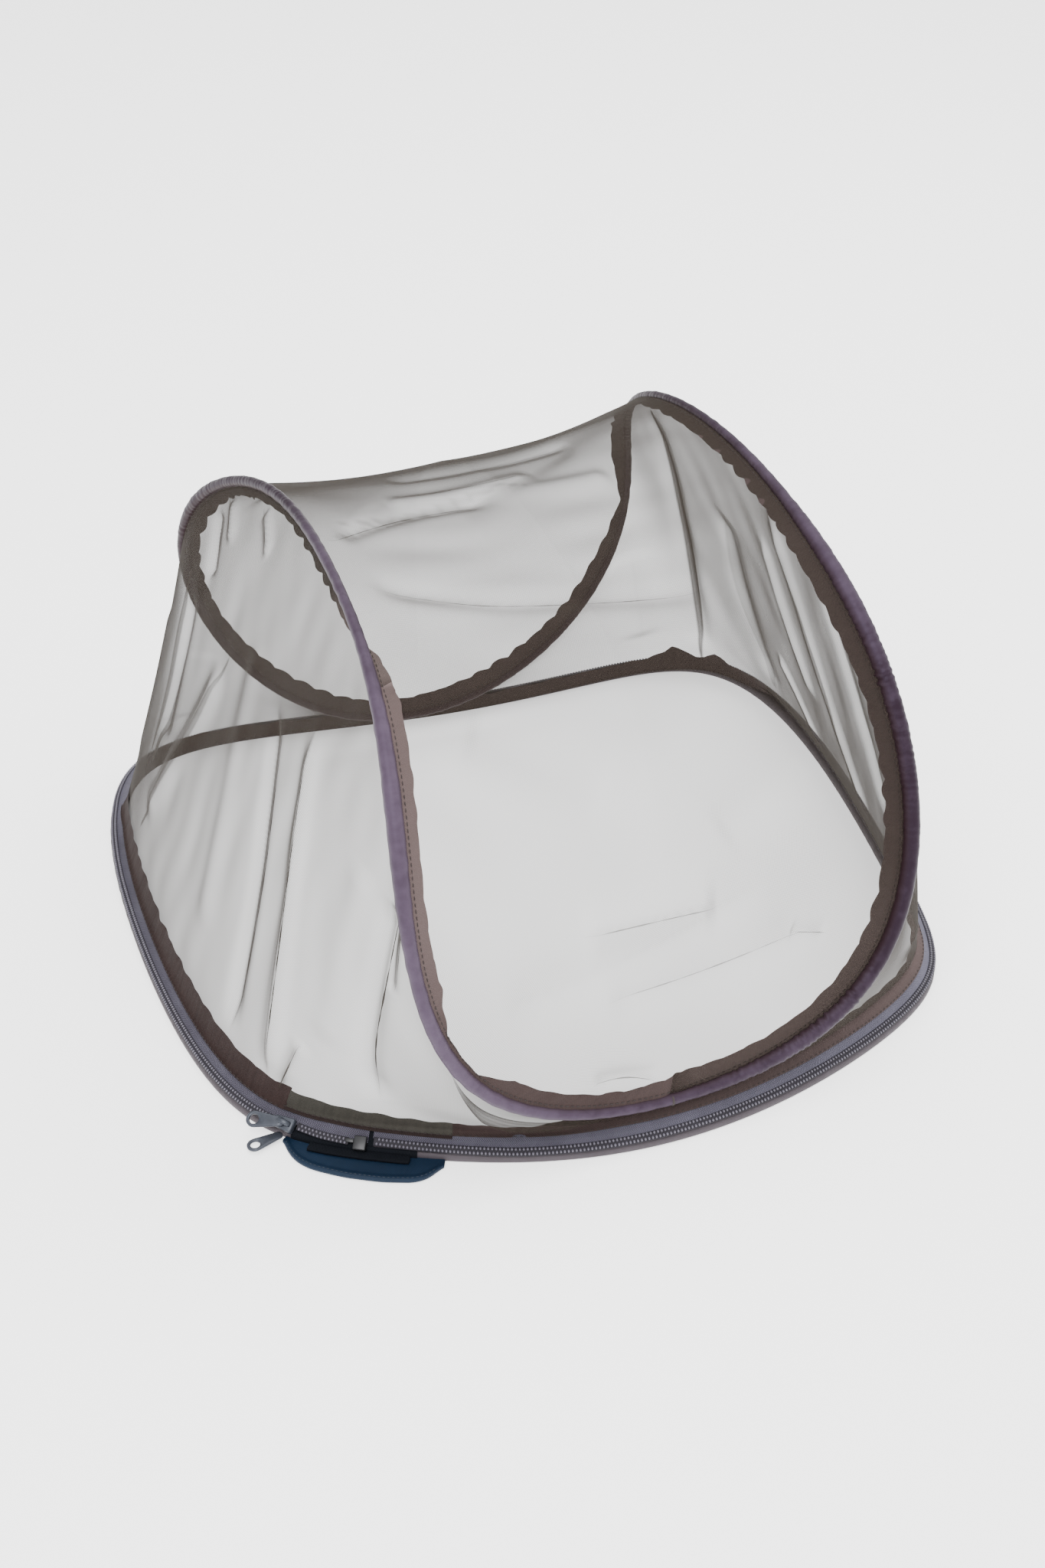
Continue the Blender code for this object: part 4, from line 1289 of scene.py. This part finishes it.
# Handle tab with a turned edge and a strip of hook tape: angle round the ring, how far it reaches
handleEdge = (
    (217.4, 3.0), (219.2, 8.5), (221.2, 13.0), (223.2, 15.5), (224.8, 16.5),
    (229.7, 18.0), (235.3, 18.2), (239.6, 16.6), (241.6, 12.0), (242.9, 3.0),
)
handleWork = {"thick": 2.4, "rim": 0.55, "dish": 0.5, "edge": 1.1, "steps": 150, "cols": 22}
hookWork = {"from": 222.2, "to": 238.4, "out": 3.5, "half": 2.6, "up": 3.0, "thick": 0.75}


def handleOut(t):
    smooth = np.zeros_like(t)
    for shift in np.linspace(-0.9, 0.9, 7):
        smooth += byAngle(handleEdge, t + shift)
    return smooth / 7.0


# Round the section: top from the ring out, over the rim, back underneath
def handlePiece():
    p = handleWork
    t = np.linspace(handleEdge[0][0], handleEdge[-1][0], p["steps"])
    far = handleOut(t)[:, None]
    half = p["thick"] / 2
    v = np.linspace(0.0, 1.0, p["cols"])[None]
    nearEnd = np.clip(np.minimum(t - t[0], t[-1] - t) / 1.4, 0.0, 1.0)[:, None]
    out = -1.5 + (far + 1.5) * (1.0 - (1.0 - v) ** 1.35)
    edge = far - out
    rim = p["rim"] * bell(edge - 2.2, 1.5) * nearEnd
    rounded = np.sqrt(np.clip(1 - np.clip(1 - edge / p["edge"], 0, 1) ** 2, 0, 1))
    top = half + (half - 0.1) * rounded + rim - p["dish"] * rise(edge / 5.0)
    low = half - half * rounded
    points = np.concatenate([ringAt(t[:, None], out, top),
                             ringAt(t[:, None], out, low)[:, ::-1][:, 1:]], 1)
    across = arcLength(points[p["steps"] // 2])
    uv = flatUv(arcLength(ringEdge(t)), np.append(across, 0.0))
    piece = gridObject("handleTab", points, uv, handleCloth, closedCols=True, flip=True)
    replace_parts(piece, "handle_tab")
    return piece


def handleStitches():
    path = lambda a: ringAt(a, np.maximum(handleOut(a) - 1.6, 0.6), 2.72)
    t = evenPlaces(path, 218.0, 241.9, 2.3)
    along = unit(path(t + 0.1) - path(t - 0.1))
    up = np.tile([0.0, 0.0, 1.0], (len(t), 1))
    small = ballShape(6, 3, (0.85, 0.22, 0.2))
    return repeatObject("handleStitches", small, path(t), stitchFrames(along, up),
                        threadBlue)


def hookPiece():
    p = hookWork
    t = np.linspace(p["from"], p["to"], 120)
    turn = fullTurn(16)
    out = p["out"] + p["half"] * squarer(np.cos(turn), 0.35)
    up = p["up"] + p["thick"] * squarer(np.sin(turn), 0.35)
    fuzz = np.random.default_rng(61).uniform(-0.12, 0.16, (len(t), len(turn)))
    points = ringAt(t[:, None], out + fuzz, up + fuzz * np.clip(np.sin(turn), 0, 1))
    points[0] = points[0].mean(0)
    points[-1] = points[-1].mean(0)
    uv = flatUv(arcLength(ringEdge(t)), np.arange(17) * 0.9)
    piece = gridObject("hookStrip", points, uv, hookTape, closedCols=True, weld=True)
    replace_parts(piece, "hook_strip")
    return piece


handlePiece()
handleStitches()
hookPiece()
print("stage: handle")

# Zip hardware: a slider with its crown, two pulls with round eyes, and the box with its pin.
# Sizes are along the zip, up its slope and off its face; spots are up the slope and off the face.
sliderWork = {"at": 216.8, "spot": (-1.1, 1.2), "size": (11.0, 7.4, 4.2), "bevel": 0.9,
              "narrow": 0.28, "droop": 0.3, "crownHalf": 3.6, "crownFoot": 2.0, "crownRise": 2.3,
              "crownThick": 0.7, "crownWide": 1.35, "crownLean": 0.7}
pullWork = {"sides": 72, "eye": 4.2, "root": 2.5, "hole": 2.5}
# Section of a pull, from its hole (0) to its outer edge (1), and up or down
pullSection = ((0.0, -0.45), (0.0, 0.45), (0.22, 0.66), (0.8, 0.66),
               (1.0, 0.38), (1.0, -0.38), (0.8, -0.66), (0.22, -0.66))
boxWork = {
    "zipBox": {"at": 230.75, "faces": 230.75, "spot": (-2.6, 0.5), "size": (6.4, 7.2, 3.0), "bevel": 0.55},
    "zipPin": {"at": 229.0, "faces": 228.9, "spot": (-1.8, 0.4), "size": (4.4, 2.2, 1.6), "bevel": 0.4},
}


def meshFromBmesh(name, shape, material):
    mesh = bpy.data.meshes.new(name)
    shape.to_mesh(mesh)
    shape.free()
    return makeObject(name, mesh, material)


def roundedBlock(size, bevel):
    shape = bmesh.new()
    bmesh.ops.create_cube(shape, size=1.0)
    bmesh.ops.scale(shape, vec=[s * mm for s in size], verts=shape.verts)
    bmesh.ops.bevel(shape, geom=shape.edges[:], offset=bevel * mm, segments=3, profile=0.5,
                    affect="EDGES")
    return shape


def moveTo(shape, turn, centre):
    for vertex in shape.verts:
        vertex.co = turn @ np.array(vertex.co) + centre * mm


# Along the zip, up its slope and off its face, as the columns of a turn
def zipTurn(t):
    along = ringAlong(np.array(t))
    up = unit(zipAt(np.array(t), 0.0, 1.0) - zipAt(np.array(t), 0.0, 0.0))
    return np.stack([along, np.cross(up, along), up], -1)


# The body narrows and droops toward its ends. The crown is a bar bent to an arch over it.
def sliderPiece():
    p = sliderWork
    turn, centre = zipTurn(p["at"]), zipAt(np.array(p["at"]), *p["spot"])
    body = roundedBlock(p["size"], p["bevel"])
    for vertex in body.verts:
        x = vertex.co.x / (p["size"][0] / 2 * mm)
        if x < 0:
            vertex.co.y *= 1.0 + p["narrow"] * x
        vertex.co.z -= p["droop"] * mm * abs(x)
    moveTo(body, turn, centre)
    arch = np.linspace(0.0, math.pi, 15)[:, None]
    around = fullTurn(10)[None, :, None]
    flat = np.zeros_like(arch)
    middle = np.stack([-p["crownHalf"] * np.cos(arch), flat,
                       p["crownFoot"] + p["crownRise"] * np.sin(arch)], -1)
    outward = unit(np.stack([-np.cos(arch) * p["crownLean"], flat, np.sin(arch) + 0.001], -1))
    sideways = np.array([0.0, 1.0, 0.0])
    rings = middle + p["crownThick"] * np.sin(around) * outward + p["crownWide"] * np.cos(around) * sideways
    crown = bmesh.new()
    grid = [[crown.verts.new(spot) for spot in ring] for ring in (rings @ turn.T + centre) * mm]
    for before, after in zip(grid[:-1], grid[1:]):
        for j in range(len(before)):
            k = (j + 1) % len(before)
            crown.faces.new((before[j], before[k], after[k], after[j]))
    crown.faces.new(grid[0][::-1])
    crown.faces.new(grid[-1])
    bmesh.ops.recalc_face_normals(crown, faces=crown.faces)
    piece = meshFromBmesh("sliderBody", body, zipMetal)
    meshFromBmesh("sliderCrown", crown, zipMetal)
    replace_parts(piece, "slider_body")


# A pull lies between two spots, each an angle round the ring, how far out and how high.
def pullPiece(name, node, rootSpot, eyeSpot, lean):
    p = pullWork
    root3, eye3 = (ringAt(np.array(spot[0]), spot[1], spot[2]) for spot in (rootSpot, eyeSpot))
    tip = math.radians(lean)
    up = np.array([0.0, 0.0, math.cos(tip)]) + ringOut(np.array(rootSpot[0])) * math.sin(tip)
    toward = unit(eye3 - root3)
    side = unit(np.cross(up, toward))
    face = np.cross(toward, side)
    angle = fullTurn(p["sides"])
    spread = np.cos(angle)[:, None] * toward + np.sin(angle)[:, None] * side
    # Outline: a round eye that narrows along a waist to the root
    mixing = rise((np.cos(angle) + 0.55) / 0.5)[:, None]
    outline = (eye3 + p["eye"] * spread) * mixing + (root3 + p["root"] * spread) * (1 - mixing)
    hole = eye3 + p["hole"] * spread
    points = np.stack([hole * (1 - s) + outline * s + face * h for s, h in pullSection], 1)
    uv = np.zeros((p["sides"] + 1, len(pullSection) + 1, 2))
    piece = gridObject(name, points, uv, zipMetal,
                       closedRows=True, closedCols=True, flip=True)
    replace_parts(piece, node)


def boxPiece(name):
    p = boxWork[name]
    shape = roundedBlock(p["size"], p["bevel"])
    moveTo(shape, zipTurn(p["faces"]), zipAt(np.array(p["at"]), *p["spot"]))
    return meshFromBmesh(name, shape, boxMetal)


sliderPiece()
pullPiece("pullTop", "pull_top", (216.4, 0.9, 10.9), (212.3, 5.2, 9.8), 33.0)
pullPiece("pullUnder", "pull_under", (216.4, 3.2, 3.4), (214.4, 13.4, 2.4), 0.0)
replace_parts(boxPiece("zipBox"), "zip_box")
boxPiece("zipPin")
print("stage: hardware")

# Camera: turned about the net, then tilted so that the net sits a little low in the picture
cameraWork = {"lens": 56.25, "turn": 21.7, "height": 36.5, "distance": 1.3838, "tilt": -2.237, "pan": 0.027}


def setPose(item, right, up, back, place):
    pose = np.eye(4)
    pose[:3] = np.stack([right, up, back, place], 1)
    item.matrix_world = Matrix(pose.tolist())


def setCamera():
    p = cameraWork
    e, a = math.radians(p["height"]), math.radians(p["turn"])
    right = np.array([1.0, 0.0, 0.0])
    up = np.array([0.0, math.sin(e), math.cos(e)])
    ahead = np.array([0.0, math.cos(e), -math.sin(e)])
    place = -p["distance"] * ahead
    tilt, pan = math.radians(p["tilt"]), math.radians(p["pan"])
    forward = math.cos(tilt) * ahead - math.sin(tilt) * up
    newUp = math.cos(tilt) * up + math.sin(tilt) * ahead
    newAhead = math.cos(pan) * forward - math.sin(pan) * right
    newRight = math.cos(pan) * right + math.sin(pan) * forward
    turn = np.array([[math.cos(a), math.sin(a), 0.0], [-math.sin(a), math.cos(a), 0.0], [0.0, 0.0, 1.0]])
    data = bpy.data.cameras.new("camera")
    data.lens = p["lens"]
    data.clip_start = 0.05
    camera = newObject("camera", data)
    spot = turn @ place + np.array([0.0, -centreY * mm, 0.0])
    setPose(camera, turn @ newRight, turn @ newUp, -(turn @ newAhead), spot)
    bpy.context.scene.camera = camera


setCamera()

# Stage: a white floor and soft light from all round. Lights: place, size and power
stageWork = {"half": 6.0, "below": 0.0002, "floorGlow": 1.3, "around": 1.15, "aimHeight": 0.1}
lights = {
    "keyLight": ((-0.9, -1.3, 2.0), 1.3, 58.0),
    "topLight": ((0.3, 0.4, 2.2), 2.4, 46.0),
    "sideLight": ((1.7, -0.3, 1.2), 1.4, 19.0),
}


def stageAndLight():
    p = stageWork
    half, low = p["half"], -p["below"]
    corners = [(-half, -half, low), (half, -half, low), (half, half, low), (-half, half, low)]
    mesh = bpy.data.meshes.new("floor")
    mesh.from_pydata(corners, [], [(0, 1, 2, 3)])
    floor = newObject("floor", mesh)
    material, tree, shader = newMaterial("floorWhite", 0.9)
    shader.inputs["Base Color"].default_value = (0.95, 0.95, 0.95, 1.0)
    shader.inputs["Emission Color"].default_value = (1.0, 1.0, 1.0, 1.0)
    shader.inputs["Emission Strength"].default_value = p["floorGlow"]
    mesh.materials.append(material)
    world = bpy.data.worlds.new("studio")
    world.use_nodes = True
    background = world.node_tree.nodes["Background"]
    background.inputs[0].default_value = (1.0, 1.0, 1.0, 1.0)
    background.inputs[1].default_value = p["around"]
    bpy.context.scene.world = world
    for name, (place, size, power) in lights.items():
        data = bpy.data.lights.new(name, "AREA")
        data.shape = "DISK"
        data.size = size
        data.energy = power
        aim = unit(np.array(place) - np.array([0.0, 0.0, p["aimHeight"]]))
        side = unit(np.cross(np.array([0.0, 0.0, 1.0]) + 0.01, aim))
        setPose(newObject(name, data), side, np.cross(aim, side), aim, place)


stageAndLight()
